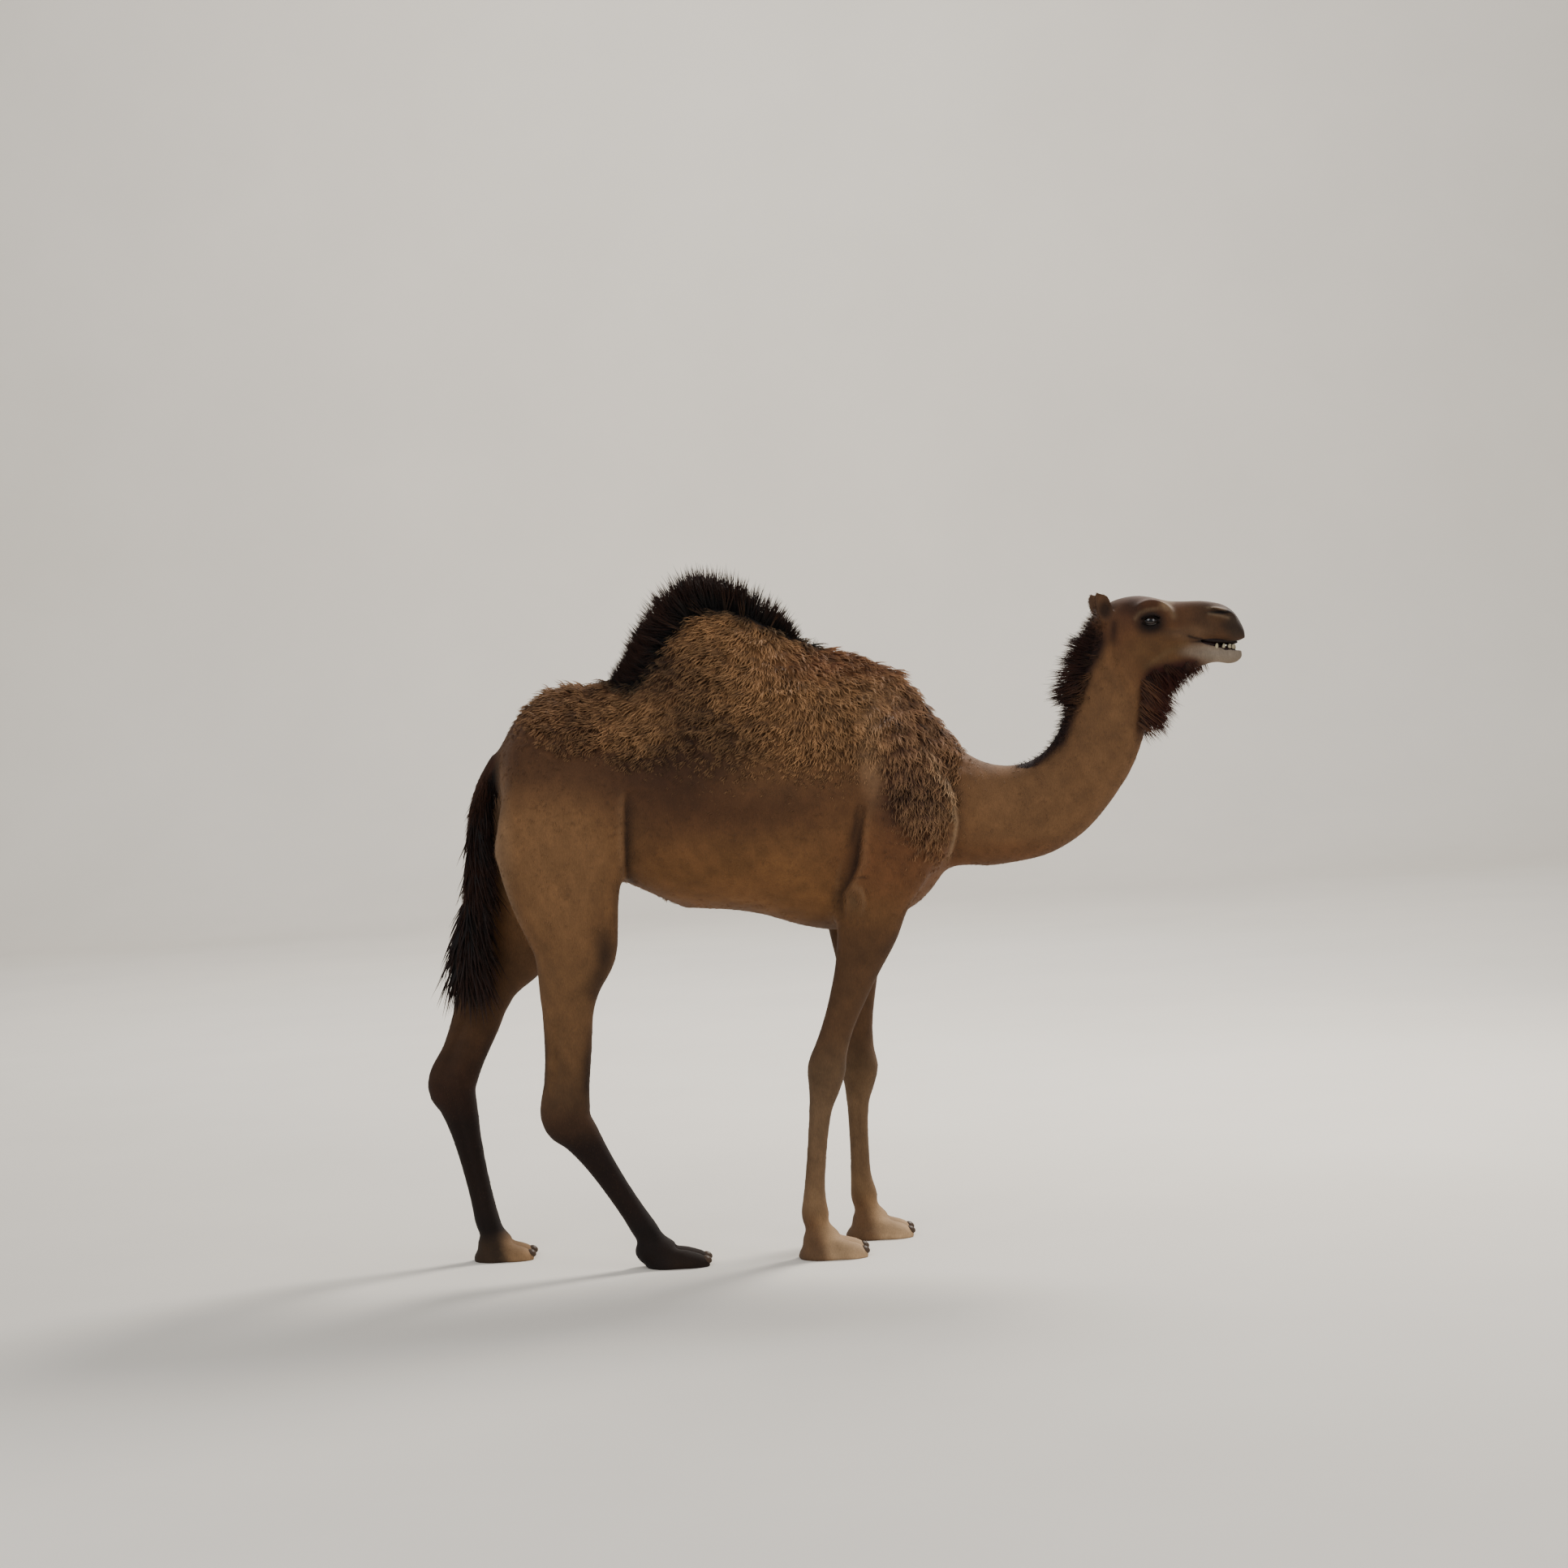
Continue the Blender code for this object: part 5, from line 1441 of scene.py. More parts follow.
# Geometry Nodes: scatters locks over the pelt, turns them along the coat's lie and makes them real
def growTree():
    tree = bpy.data.node_groups.new("growLocks", "GeometryNodeTree")
    tree.is_modifier = True
    sockets = tree.interface
    sockets.new_socket("Pelt", in_out="INPUT", socket_type="NodeSocketGeometry")
    sockets.new_socket("Coat", in_out="OUTPUT", socket_type="NodeSocketGeometry")
    for label, kind in (
        ("Locks per square metre", "Float"), ("Seed", "Int"), ("Length", "Float"), ("Uneven length", "Float"),
        ("Lift", "Float"), ("Stray", "Float"), ("Clump size", "Float"), ("Clump bend", "Float"),
        ("Root depth", "Float"), ("Patch", "Float"),
        ("Locks", "Collection"), ("Finish", "Material"),
    ):
        sockets.new_socket(label, in_out="INPUT", socket_type="NodeSocket" + kind)
    given = tree.nodes.new("NodeGroupInput")
    result = tree.nodes.new("NodeGroupOutput")

    def node(kind, settings=None, links=None, values=None):
        return addNode(tree, kind, settings, links, **(values or {}))

    def field(name, kind="FLOAT"):
        return node("GeometryNodeInputNamedAttribute", {"data_type": kind}, values={"Name": name}).outputs[0]

    def math2(operation, a, b):
        made = node("ShaderNodeMath", {"operation": operation})
        for slot, value in ((0, a), (1, b)):
            if isinstance(value, (int, float)):
                made.inputs[slot].default_value = value
            else:
                tree.links.new(value, made.inputs[slot])
        return made.outputs[0]

    def vector(operation, a, b=None, scale=None):
        made = node("ShaderNodeVectorMath", {"operation": operation}, {0: a})
        if b is not None:
            tree.links.new(b, made.inputs[1])
        if scale is not None:
            tree.links.new(scale, made.inputs["Scale"])
        return made.outputs[0]

    def dice(kind, low, high, step):
        seed = math2("ADD", given.outputs["Seed"], step)
        made = node("FunctionNodeRandomValue", {"data_type": kind}, {"Seed": seed})
        first = 0 if kind == "FLOAT_VECTOR" else 2
        for slot, value in ((first, low), (first + 1, high)):
            if hasattr(value, "links"):
                tree.links.new(value, made.inputs[slot])
            else:
                made.inputs[slot].default_value = value
        return made.outputs["Value"] if kind == "FLOAT_VECTOR" else made.outputs[1]

    thick = math2("MULTIPLY", field("cover"), given.outputs["Locks per square metre"])
    scatter = node(
        "GeometryNodeDistributePointsOnFaces", {"distribute_method": "RANDOM"},
        {"Mesh": given.outputs["Pelt"], "Density": thick, "Seed": given.outputs["Seed"]},
    )
    outward = scatter.outputs["Normal"]
    stand = math2("MULTIPLY", given.outputs["Lift"], dice("FLOAT", 0.5, 1.5, 1))
    loose = vector("SCALE", dice("FLOAT_VECTOR", (-1, -1, -1), (1, 1, 1), 2), scale=given.outputs["Stray"])
    # neighbouring locks bend alike, in clumps
    where = node("GeometryNodeInputPosition").outputs[0]
    where = vector("SCALE", where, scale=math2("DIVIDE", 1.0, given.outputs["Clump size"]))
    clump = node("ShaderNodeTexNoise", links={"Vector": where}, values={"Scale": 1.0, "Detail": 1.5})
    swing = node("ShaderNodeVectorMath", {"operation": "SUBTRACT"}, {0: clump.outputs["Color"]})
    swing.inputs[1].default_value = (0.5, 0.5, 0.5)
    swing = vector("SCALE", swing.outputs[0], scale=given.outputs["Clump bend"])
    grow = vector("ADD", field("lie", "FLOAT_VECTOR"), vector("SCALE", outward, scale=stand))
    grow = vector("NORMALIZE", vector("ADD", vector("ADD", grow, loose), swing))
    turn = node(
        "FunctionNodeAxesToRotation", {"primary_axis": "X", "secondary_axis": "Z"},
        {"Primary Axis": grow, "Secondary Axis": outward},
    )
    uneven = math2("MULTIPLY", given.outputs["Uneven length"], dice("FLOAT", -1.0, 1.0, 3))
    length = math2("MULTIPLY", field("reach"), given.outputs["Length"])
    length = math2("MULTIPLY", length, math2("ADD", uneven, 1.0))
    clumpShade = math2("MULTIPLY", math2("SUBTRACT", clump.outputs["Fac"], 0.5), 2.0)
    lockShade = math2("MULTIPLY", dice("FLOAT", 0.0, 1.0, 4), 0.5)
    shadeValue = math2("ADD", lockShade, math2("ADD", clumpShade, 0.25))
    shaded = node(
        "GeometryNodeStoreNamedAttribute", {"data_type": "FLOAT", "domain": "POINT"},
        {"Geometry": scatter.outputs["Points"], "Value": shadeValue}, {"Name": "shade"},
    )
    rooted = math2("MULTIPLY", given.outputs["Root depth"], -1.0)
    rooted = vector("SCALE", outward, scale=rooted)
    sunk = node("GeometryNodeSetPosition", links={"Geometry": shaded.outputs[0], "Offset": rooted})
    shapes = node(
        "GeometryNodeCollectionInfo", {"transform_space": "ORIGINAL"},
        {"Collection": given.outputs["Locks"]}, {"Separate Children": True, "Reset Children": True},
    )
    locks = node(
        "GeometryNodeInstanceOnPoints",
        links={
            "Points": sunk.outputs[0], "Instance": shapes.outputs[0],
            "Rotation": turn.outputs[0], "Scale": length,
        },
        values={"Pick Instance": True},
    )
    real = node("GeometryNodeRealizeInstances", links={"Geometry": locks.outputs[0]})
    inPatch = node("ShaderNodeCombineXYZ", links={"X": field("along"), "Y": field("across")})
    inPatch = vector("SCALE", inPatch.outputs[0], scale=given.outputs["Patch"])
    spot = vector("ADD", field("unwrap", "FLOAT_VECTOR"), inPatch)
    mapped = node(
        "GeometryNodeStoreNamedAttribute", {"data_type": "FLOAT2", "domain": "CORNER"},
        {"Geometry": real.outputs[0], "Value": spot}, {"Name": "OFBake"},
    )
    painted = node(
        "GeometryNodeSetMaterial", links={"Geometry": mapped.outputs[0], "Material": given.outputs["Finish"]}
    )
    tree.links.new(painted.outputs[0], result.inputs[0])
    return tree


growLocks = growTree()
bakePatch = 0.003  # width of a tuft's patch on the unwrap
coatPieces = []


def growCoat(name, rule, cover, reach, lie, slotName):
    setField("cover", "FLOAT", cover)
    setField("reach", "FLOAT", reach)
    setField("lie", "FLOAT_VECTOR", lie)
    grower = peltItem.modifiers.new("grow", "NODES")
    grower.node_group = growLocks
    values = {
        "Locks per square metre": rule["density"], "Seed": rule["seed"], "Length": rule["length"],
        "Uneven length": rule["uneven"], "Lift": rule["lift"], "Stray": rule["stray"],
        "Clump size": rule["clump"], "Clump bend": rule["bend"],
        "Root depth": rule["rootDepth"], "Patch": bakePatch, "Locks": rule["locks"], "Finish": rule["finish"],
    }
    for socket in growLocks.interface.items_tree:
        if socket.in_out == "INPUT" and socket.name in values:
            grower[socket.identifier] = values[socket.name]
    peltItem.update_tag()
    bpy.context.view_layer.update()
    graph = bpy.context.evaluated_depsgraph_get()
    mesh = bpy.data.meshes.new_from_object(peltItem.evaluated_get(graph))
    peltItem.modifiers.remove(grower)
    flattenSoles(mesh)
    for extra in ("cover", "reach", "lie", "unwrap", "across"):
        layer = mesh.attributes.get(extra)
        if layer:
            mesh.attributes.remove(layer)
    piece = place(name, mesh)
    piece["slotName"] = slotName
    coatPieces.append(piece)
    report(f"{name}: {len(mesh.polygons)} triangles")
    return piece


# strand thickness, spread, arch and wave are shares of a lock's length
lockShapes = {
    "short": {"strands": 3, "segments": 1, "width": 0.085, "spread": 0.22, "fan": 0.28, "arch": 0.05,
              "wave": 0.0, "turns": 0.0, "taper": 0.8, "flat": 0.25},
    "wool": {"strands": 4, "segments": 3, "width": 0.060, "spread": 0.10, "fan": 0.26, "arch": 0.15,
             "wave": 0.13, "turns": 1.1, "taper": 0.5, "flat": 0.5},
    "spike": {"strands": 4, "segments": 3, "width": 0.030, "spread": 0.10, "fan": 0.20, "arch": 0.05,
              "wave": 0.035, "turns": 0.6, "taper": 0.8, "flat": 0.6},
}
locks = {name: lockFamily(name, shape) for name, shape in lockShapes.items()}
shortFinish = makeCoatMaterial("shortCoat", 0.92, 1.08, tone(128, 98, 66), 0.10, 0.14)
woolFinish = makeCoatMaterial("woolCoat", 0.40, 1.70, tone(160, 128, 92), 0.22, 0.42)
# the dark hair's reddish tips are painted sunlight shining through them
darkFinish = makeCoatMaterial("darkHair", 0.55, 1.30, tone(70, 38, 22), 0.28, 0.40)


def neckHair(rule):  # how much the pelt belongs to a line of hair, and where along it
    near, share = pathDistance(peltPlaces, rule["path"])
    return 1 - ramp(near, rule["core"], rule["halfWidth"]), share


def darkLocks(rule):
    return {**rule, "locks": locks["spike"], "finish": darkFinish}


crestHair = {
    "density": 34000, "seed": 21, "length": 0.112, "uneven": 0.28, "lift": 0.95, "stray": 0.14,
    "rootDepth": 0.003, "clump": 0.034, "bend": 0.8,
    "reach": [(-0.47, 0.30), (-0.42, 0.42), (-0.37, 0.66), (-0.30, 0.84), (-0.20, 1.0), (-0.12, 0.82),
              (-0.05, 0.70), (0.0, 0.56), (0.04, 0.38), (0.08, 0.22), (0.20, 0.16)],
    # which way the standing hair leans along X
    "lean": [(-0.42, -0.50), (-0.30, -0.25), (-0.18, 0.0), (-0.08, 0.25), (0.06, 0.55)],
    "middle": -0.115, "halfLength": 0.355, "above": 1.60,
    "sparse": (0.06, 0.5),  # ahead of this X it has this share of the locks
}
woolHair = {
    "hump": {"density": 9000, "seed": 11, "length": 0.044, "uneven": 0.30, "lift": 0.20, "stray": 0.10,
             "clump": 0.040, "bend": 1.6},
    "shoulder": {"density": 10500, "seed": 12, "length": 0.056, "uneven": 0.30, "lift": 0.15, "stray": 0.09,
                 "clump": 0.046, "bend": 1.0},
    "croup": {"density": 11500, "seed": 13, "length": 0.044, "uneven": 0.30, "lift": 0.26, "stray": 0.12,
              "clump": 0.042, "bend": 2.0},
}
napeHair = {
    "density": 17000, "seed": 31, "length": 0.064, "uneven": 0.35, "lift": 0.9, "stray": 0.16,
    "rootDepth": 0.003, "clump": 0.030, "bend": 1.3,
    "path": [(0.700, 1.372), (0.745, 1.396), (0.790, 1.448), (0.822, 1.512), (0.848, 1.580), (0.868, 1.650),
             (0.892, 1.715), (0.925, 1.775)],
    "halfWidth": 0.052, "core": 0.014, "halfBreadth": 0.062, "above": 1.36,
    # height, share of the full length: a big tuft halfway, shorter hair above and below
    "reach": [(1.38, 0.24), (1.48, 0.36), (1.53, 0.55), (1.57, 1.25), (1.64, 1.0), (1.70, 0.85),
              (1.74, 0.5), (1.78, 0.3)],
}
throatHair = {
    "density": 17000, "seed": 32, "length": 0.096, "uneven": 0.24, "lift": 0.7, "stray": 0.14,
    "rootDepth": 0.003, "clump": 0.034, "bend": 0.9,
    "path": [(1.060, 1.470), (1.072, 1.530), (1.082, 1.575), (1.120, 1.592), (1.200, 1.610)],
    "halfWidth": 0.044, "core": 0.016, "ahead": 1.0, "above": 1.474,
    "hang": (0.52, 0, -0.80),
    # share of the way along the path, share of the full length
    "reach": [(0.0, 0.72), (0.3, 0.95), (0.5, 0.95), (0.75, 0.62), (1.0, 0.32)],
}
tailHair = {
    "density": 19000, "seed": 33, "length": 0.110, "uneven": 0.22, "lift": 0.24, "stray": 0.08,
    "rootDepth": 0.002, "clump": 0.050, "bend": 0.35,
    # height, share of the full length
    "reach": [(0.88, 1.60), (0.95, 1.70), (1.05, 1.45), (1.20, 1.15), (1.35, 0.95), (1.45, 0.45),
              (1.52, 0.15)],
    "alongX": (-1.0, -0.80), "halfBreadth": 0.05, "alongZ": (0.88, 1.53),
    "leanAhead": (0.24, 0, 0),  # for the hair on the dock's front
}
shortHair = {
    "uneven": 0.3, "lift": 0.10, "stray": 0.12, "rootDepth": 0.0014, "clump": 0.05, "bend": 0.4,
    "trunk": {"density": 7800, "seed": 41, "length": 0.0175},
    "neck": {"density": 11000, "seed": 42, "length": 0.0145},
    "foreLegs": {"density": 11500, "seed": 43, "length": 0.0115},
    "hindLegs": {"density": 9800, "seed": 44, "length": 0.0120},
    "head": {"density": 52000, "seed": 45, "length": 0.0062},
    "ears": {"density": 60000, "seed": 46, "length": 0.0075},
}


coatParts = {
    "neck": (0.46, 0.50),  # where along X its coat begins
    "legs": (0.92, 0.98),  # the height where their coat ends
    "foreLegs": -0.30,  # the X that parts them from the hind legs
    "ears": (0.985, 0.048, 1.775),  # behind X, outside Y and above Z
    # no tufts inside the mouth and the lids: x, z, reach along x, reach along z
    "bareFace": [(1.28, 1.6800, 0.085, 0.014), (1.079, 1.760, 0.026, 0.016)],
}


def growCrest():
    x, y, z = peltPlaces.T
    ones = np.ones(len(x))
    under = ridgeLine(x) - z
    stripe = np.maximum(valueAt(x, markings["stripe"]) * 0.85, 0.006)
    along = np.abs(x - crestHair["middle"]) < crestHair["halfLength"]
    crest = (1 - ramp(under - 0.014, stripe * 0.5, stripe * 0.85)) * along * (z > crestHair["above"])
    sparseX, sparseShare = crestHair["sparse"]
    crest = crest * np.where(x > sparseX, sparseShare, 1.0)
    outward = np.stack([valueAt(x, crestHair["lean"]), 0 * ones, ones], 1)
    # upright along the back, and lying down towards the stripe's edge
    stand = np.maximum(ramp(stripe * 1.1 - under, 0.0, 0.05), 1 - ramp(np.abs(y), 0.022, 0.050))
    lie = unit(peltLie * (1 - 0.8 * stand)[:, None] + outward * (0.9 * stand)[:, None])
    growCoat("crestHair", darkLocks(crestHair), crest, valueAt(x, crestHair["reach"]), lie, "dark_hair")
    return crest


def growWool(crest):
    for name, slotName in (("hump", "hump_wool"), ("shoulder", "coat"), ("croup", "hump_wool")):
        rule = {"rootDepth": 0.003, "locks": locks["wool"], "finish": woolFinish, **woolHair[name]}
        cover = woolAmount(peltPlaces, name) * (1 - 0.8 * crest)
        reach = 0.25 + 0.75 * cover
        if name == "hump":  # in two pieces, to keep each one light enough
            for side, word in sides:
                half = cover * (peltPlaces[:, 1] * side > 0)
                growCoat("humpWool" + word.capitalize(), rule, half, reach, peltLie, slotName)
        else:
            growCoat(name + "Wool", rule, cover, reach, peltLie, slotName)


def growNape():
    x, y, z = peltPlaces.T
    ones = np.ones(len(x))
    nape, _ = neckHair(napeHair)
    nape = nape * (peltNormals[:, 0] < 0.35) * (np.abs(y) < napeHair["halfBreadth"])
    nape = nape * (z > napeHair["above"])
    rising = np.stack([-0.75 * ones, 0 * ones, 0.15 + 0.8 * ramp(z, 1.57, 1.70)], 1)
    reach = (0.6 + 0.4 * nape) * valueAt(z, napeHair["reach"])
    growCoat("napeHair", darkLocks(napeHair), nape, reach, unit(peltLie * 0.8 + rising), "dark_hair")
    return nape


def growThroat():
    x, _, z = peltPlaces.T
    throat, share = neckHair(throatHair)
    throat = throat * (peltNormals[:, 2] < 0.3) * (x > throatHair["ahead"]) * (z > throatHair["above"])
    lie = unit(peltLie * 0.2 + np.array(throatHair["hang"]))
    reach = valueAt(share, throatHair["reach"])
    growCoat("throatHair", darkLocks(throatHair), throat, reach, lie, "dark_hair")
    return throat


def growTail():
    x, y, z = peltPlaces.T
    (backX, frontX), (lowZ, highZ) = tailHair["alongX"], tailHair["alongZ"]
    tail = (x > backX) & (x < frontX) & (np.abs(y) < tailHair["halfBreadth"]) & (z > lowZ) & (z < highZ)
    rear = ramp(-peltNormals[:, 0], 0.1, 0.6) * ramp(z, 1.02, 1.12)
    front = 1 - ramp(-peltNormals[:, 0], -0.4, 0.4)
    lie = unit(peltLie + np.array(tailHair["leanAhead"]) * front[:, None])
    reach = valueAt(z, tailHair["reach"]) * (1 - 0.75 * rear)
    growCoat("tailHair", darkLocks(tailHair), tail * 1.0, reach, lie, "dark_hair")
    return tail


def growShort(crest, nape, throat, tail):
    x, y, z = peltPlaces.T
    onHead = ramp(headLine(peltPlaces), -0.02, 0.02)
    longCoat = np.maximum.reduce([woolAmount(peltPlaces, name) for name in woolFields])
    bare = np.maximum.reduce([longCoat * 0.85, crest, nape * 0.8, throat * 0.8, tail * 1.0])
    neck = ramp(x, *coatParts["neck"]) * (1 - onHead)
    legs = 1 - ramp(z, *coatParts["legs"])
    fore = x > coatParts["foreLegs"]
    earX, earY, earZ = coatParts["ears"]
    ears = onHead * (np.abs(y) > earY) * (x < earX) * (z > earZ)
    bareFace = np.maximum.reduce([blob(peltPlaces, *oval) for oval in coatParts["bareFace"]])
    sole = (z < 0.012) | (peltNormals[:, 2] < -0.7) & (z < 0.03)
    covers = {
        "trunk": (1 - neck) * (1 - onHead) * (1 - legs),
        "neck": neck,
        "foreLegs": legs * fore * (1 - neck),
        "hindLegs": legs * (1 - fore),
        "head": onHead * (1 - ears) * (1 - bareFace),
        "ears": ears,
    }
    feet = (1 - 0.5 * (1 - ramp(z, 0.10, 0.20))) * (1 + 0.8 * longCoat)
    muzzle = 1 - 0.55 * ramp(x, 1.16, 1.32)
    for name, cover in covers.items():
        rule = {**shortHair, **shortHair[name], "locks": locks["short"], "finish": shortFinish}
        cover = cover * (1 - bare) * (1 - sole)
        reach = feet * (muzzle if name == "head" else 1.0)
        growCoat(name + "Coat", rule, cover, reach, peltLie, "coat")


crestCover = growCrest()
growWool(crestCover)
growShort(crestCover, growNape(), growThroat(), growTail())
bpy.data.objects.remove(peltItem)


# eyes, lashes, nails, teeth and tongue

def dressed(mesh, material):
    mesh.materials.clear()
    mesh.materials.append(material)
    mesh.shade_smooth()
    return mesh


eyeBall = {
    "radius": 0.0232,
    "iris": tone(30, 17, 10), "irisRim": tone(14, 9, 6), "pupil": tone(4, 3, 3), "white": tone(48, 36, 28),
    "pupilHalf": (0.0075, 0.0045),
    "irisHalf": 0.0170,
    # where each colour begins and is full, as shares of the iris, or of the pupil
    "edges": {"irisRim": (0.55, 0.80), "white": (0.94, 1.06), "pupil": (0.9, 1.1)},
}


def scaledLength(tree, source, factors):  # distance from the middle, each axis scaled
    scaled = addNode(tree, "ShaderNodeVectorMath", {"operation": "MULTIPLY"}, {0: source})
    scaled.inputs[1].default_value = factors
    length = addNode(tree, "ShaderNodeVectorMath", {"operation": "LENGTH"}, {0: scaled.outputs[0]})
    return length.outputs["Value"]


def makeEyeMaterial(side):
    material, tree, shader = newMaterial("eyeSurface" + str(side), 0.08)
    shader.inputs["Specular IOR Level"].default_value = 0.45
    where = addNode(tree, "ShaderNodeTexCoord")
    centre = addNode(tree, "ShaderNodeMapping")
    x, y, z = eyePlace
    centre.inputs["Location"].default_value = (-(x + shift), -y * side, -z)
    link(tree, where.outputs["Object"], centre.inputs["Vector"])
    away = scaledLength(tree, centre.outputs[0], (1, 0, 1))
    colour = eyeBall["iris"]
    for ring in ("irisRim", "white"):
        low, high = [share * eyeBall["irisHalf"] for share in eyeBall["edges"][ring]]
        colour = blend(tree, remap(tree, away, 0.0, 1.0, low, high), colour, eyeBall[ring])
    halfX, halfZ = eyeBall["pupilHalf"]
    inPupil = scaledLength(tree, centre.outputs[0], (1 / halfX, 0, 1 / halfZ))
    outside = remap(tree, inPupil, 0.0, 1.0, *eyeBall["edges"]["pupil"])
    colour = blend(tree, outside, eyeBall["pupil"], colour)
    link(tree, colour, shader.inputs["Base Color"])
    return material


smallPieces = []


def addPiece(name, mesh, material, slotName, replaced=()):
    piece = place(name, dressed(mesh, material))
    smallPieces.append((piece, slotName, replaced))
    return piece


for side, word in sides:
    x, y, z = eyePlace
    ball = ellipsoid((x, y * side, z), (eyeBall["radius"],) * 3, detail=5)
    addPiece(word + "EyeBall", ball, makeEyeMaterial(side), "eye", ["eye_" + word])

lash = {
    "count": 84, "length": 0.024, "width": 0.0007, "rise": -0.10, "seed": 5,
    "lowerLength": 0.55,  # share of the upper lashes' length
    "proud": 0.0030,  # from the eyeball to the roots
}


def lashMesh(side):
    random = np.random.default_rng(lash["seed"])
    x, y, z = eyePlace
    halfX, halfZ = headShape["eyeSlit"][3], headShape["eyeSlit"][5]
    meshes = []
    for upper, many in ((1, lash["count"]), (-1, lash["count"] // 2)):
        for k in range(many):
            turn = math.pi * (0.10 + 0.80 * (k + random.uniform(0.2, 0.8)) / many)
            dx, dz = halfX * math.cos(turn) * 1.04, halfZ * math.sin(turn) * upper * 1.05
            radius = eyeBall["radius"] + lash["proud"]
            out = math.sqrt(max(radius**2 - dx**2 - dz**2, 1e-6))
            root = Vector((x + dx, (y + out) * side, z + dz))
            forward = Vector((dx * 12, side * 0.85, upper * lash["rise"] + dz * 6)).normalized()
            size = lash["length"] * random.uniform(0.7, 1.0) * (1 if upper > 0 else lash["lowerLength"])
            rings = []
            for step in range(4):
                t = step / 3
                bent = root + forward * size * t + Vector((0, 0, upper * size * 0.35 * t * t))
                thick = lash["width"] * (1 - 0.85 * t)
                rings.append([
                    bent + Vector((math.cos(a) * thick, 0, math.sin(a) * thick)) for a in turnAngles(3)
                ])
            meshes.append(skinRings(rings))
    return joined(meshes)


def plainMaterial(name, colour, roughness, grain=0.12, size=60.0):
    material, tree, shader = newMaterial(name, roughness)
    speckle = scaledNoise(tree, (1, 1, 1), size)
    base = addNode(tree, "ShaderNodeRGB")
    base.outputs[0].default_value = (*colour, 1)
    shade = remap(tree, speckle, 1 - grain, 1 + grain, 0.3, 0.7)
    link(tree, times(tree, base.outputs[0], shade), shader.inputs["Base Color"])
    addBump(tree, shader, speckle, 0.4, 0.0006)
    return material


lashFinish = plainMaterial("lashHair", tone(20, 12, 9), 0.6)
for side, word in sides:
    addPiece(word + "Lashes", lashMesh(side), lashFinish, "dark_hair")

nails = {
    "radii": (0.0150, 0.0138, 0.0108), "reach": 0.048, "pitch": 28,
    "finish": plainMaterial("nailHorn", tone(64, 50, 39), 0.45, 0.10, 60.0),
}
for side, end, joints, _, foot in allLegs():
    toes = sorted(toeMiddles(joints, foot), key=lambda toe: abs(toe[1]))
    for word, (toeX, toeY) in zip(("inner", "outer"), toes):
        shape = ellipsoid((toeX + nails["reach"], toeY, foot[2] * 0.30), nails["radii"], nails["pitch"], 4)
        addPiece(f"{end}Nail_{side}_{word}", shape, nails["finish"], "horn", [f"{end}_nail_{side}_{word}"])

teeth = {
    # x, y and the height of the tip
    "incisors": [
        (1.324, 0.0042, 1.6800), (1.319, 0.0122, 1.6808), (1.308, 0.0188, 1.6822), (1.291, 0.0226, 1.6840),
        (1.271, 0.0236, 1.6862),
    ],
    "radii": (0.0046, 0.0040, 0.0088),
    "gum": (1.297, 0.0, 1.6655, 0.036, 0.0285, 0.0115, 14),
    "tongue": (1.250, 0.0, 1.6845, 0.050, 0.020, 0.0090, 14),
    "palate": (1.270, 0.0, 1.6945, 0.066, 0.024, 0.0115, 8),
}
toothMeshes = [
    ellipsoid((x, y * side, top - teeth["radii"][2]), teeth["radii"], 8, 3)
    for x, y, top in teeth["incisors"] for side in (-1, 1)
]
enamel = plainMaterial("toothEnamel", tone(150, 139, 114), 0.35, 0.10, 120.0)
addPiece("lowerTeeth", joined(toothMeshes), enamel, "chin")
tongueFlesh = plainMaterial("tongueFlesh", tone(34, 20, 19), 0.50, 0.25, 160.0)
addPiece("mouthLining", joined([form(teeth["gum"]), form(teeth["tongue"])]), tongueFlesh, "chin")
palateFlesh = plainMaterial("palateFlesh", tone(26, 14, 13), 0.55, 0.10, 160.0)
addPiece("palate", form(teeth["palate"]), palateFlesh, "chin")
report("eyes, nails and teeth")


# camera, floor and light

# seen from the right side, a little off level, with the lens as high as the mouth
view = {"height": 1.64, "distance": 9.0, "down": 1.81, "roll": -3.5, "lens": 71.37, "sensor": 36.0}


def makeCamera():
    lens = bpy.data.cameras.new("camera")
    lens.lens, lens.sensor_width = view["lens"], view["sensor"]
    camera = bpy.data.objects.new("camera", lens)
    turn = Matrix.Rotation(math.radians(90 - view["down"]), 4, "X")
    roll = Matrix.Rotation(math.radians(view["roll"]), 4, "Z")
    camera.matrix_world = Matrix.Translation((shift, -view["distance"], view["height"])) @ turn @ roll
    bpy.context.scene.collection.objects.link(camera)
    bpy.context.scene.camera = camera


makeCamera()

stage = {"size": 40.0, "colour": tone(214, 207, 196), "wall": 14.0, "curve": 3.0, "curveSteps": 12}


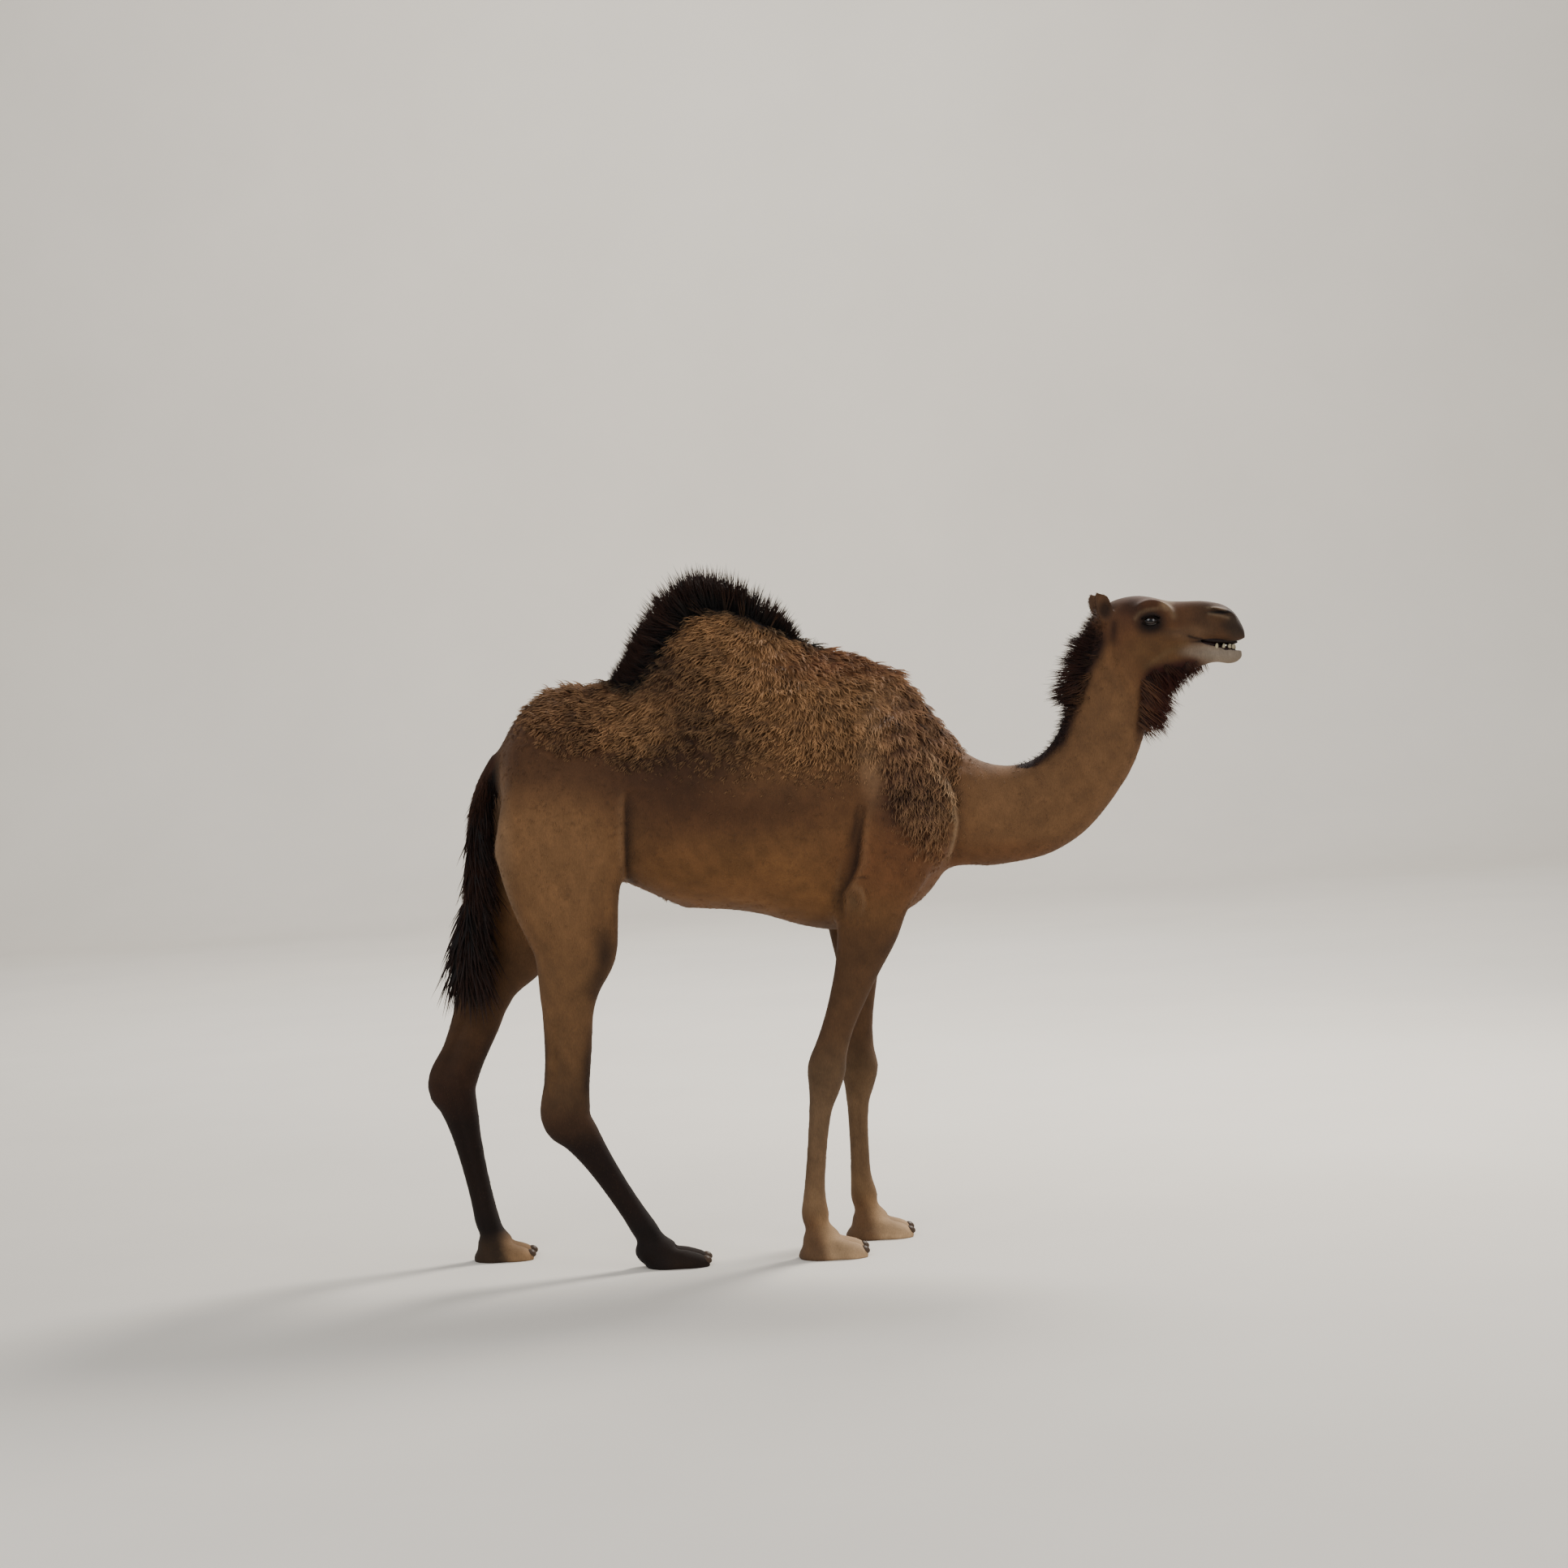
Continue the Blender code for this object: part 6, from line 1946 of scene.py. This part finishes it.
def makeStage():  # a pale floor that curves up into a backdrop
    half = stage["size"] / 2
    profile = [(-half, 0.0)]
    for k in range(stage["curveSteps"] + 1):
        a = math.pi / 2 * k / stage["curveSteps"]
        profile.append((stage["wall"] + stage["curve"] * math.sin(a), stage["curve"] * (1 - math.cos(a))))
    profile.append((stage["wall"] + stage["curve"], stage["wall"]))
    bm = bmesh.new()
    rows = [[bm.verts.new((x, y, z)) for x in (-half, half)] for y, z in profile]
    for low, high in zip(rows, rows[1:]):
        bm.faces.new((low[0], low[1], high[1], high[0]))
    paleFloor = plainMaterial("paleFloor", stage["colour"], 0.9, 0.03, 0.6)
    place("floor", dressed(finishMesh(bm), paleFloor))


makeStage()


def addLight(name, where, aim, size, power, colour):
    lamp = bpy.data.lights.new(name, "AREA")
    lamp.shape, lamp.size, lamp.energy, lamp.color = "DISK", size, power, colour
    item = bpy.data.objects.new(name, lamp)
    item.location = where
    item.rotation_euler = (Vector(where) - Vector(aim)).to_track_quat("Z", "Y").to_euler()
    bpy.context.scene.collection.objects.link(item)


addLight("key", (2.6, 2.6, 5.0), (0, 0, 1.2), 2.0, 520, (1.0, 0.97, 0.92))
addLight("fill", (-3.0, -6.5, 4.6), (0, 0, 1.1), 5.0, 300, (0.96, 0.98, 1.0))
addLight("front", (5.0, -4.0, 2.6), (0.6, 0, 1.3), 3.0, 90, (1.0, 0.98, 0.95))
addLight("backdrop", (0.0, 6.0, 9.0), (0, 15.0, 3.0), 7.0, 1500, (1.0, 0.99, 0.97))
world = bpy.data.worlds.new("studio")
world.use_nodes = True
sky = world.node_tree.nodes["Background"].inputs
sky["Color"].default_value = (0.84, 0.86, 0.90, 1)
sky["Strength"].default_value = 0.62
bpy.context.scene.world = world


# every piece goes to its place in the frame and rides on the body

def settlePiece(piece, replaced=()):
    piece.data.transform(Matrix.Translation((shift, 0, 0)))
    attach(piece, "root")
    if replaced:
        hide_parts(*replaced)


fleshNodes = [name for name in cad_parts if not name.startswith(("eye_", "fore_nail_", "hind_nail_"))]
settlePiece(skin, fleshNodes)
for piece in coatPieces:
    settlePiece(piece)
    del piece["slotName"]
for piece, slotName, replaced in smallPieces:
    settlePiece(piece, replaced)

report("finished")
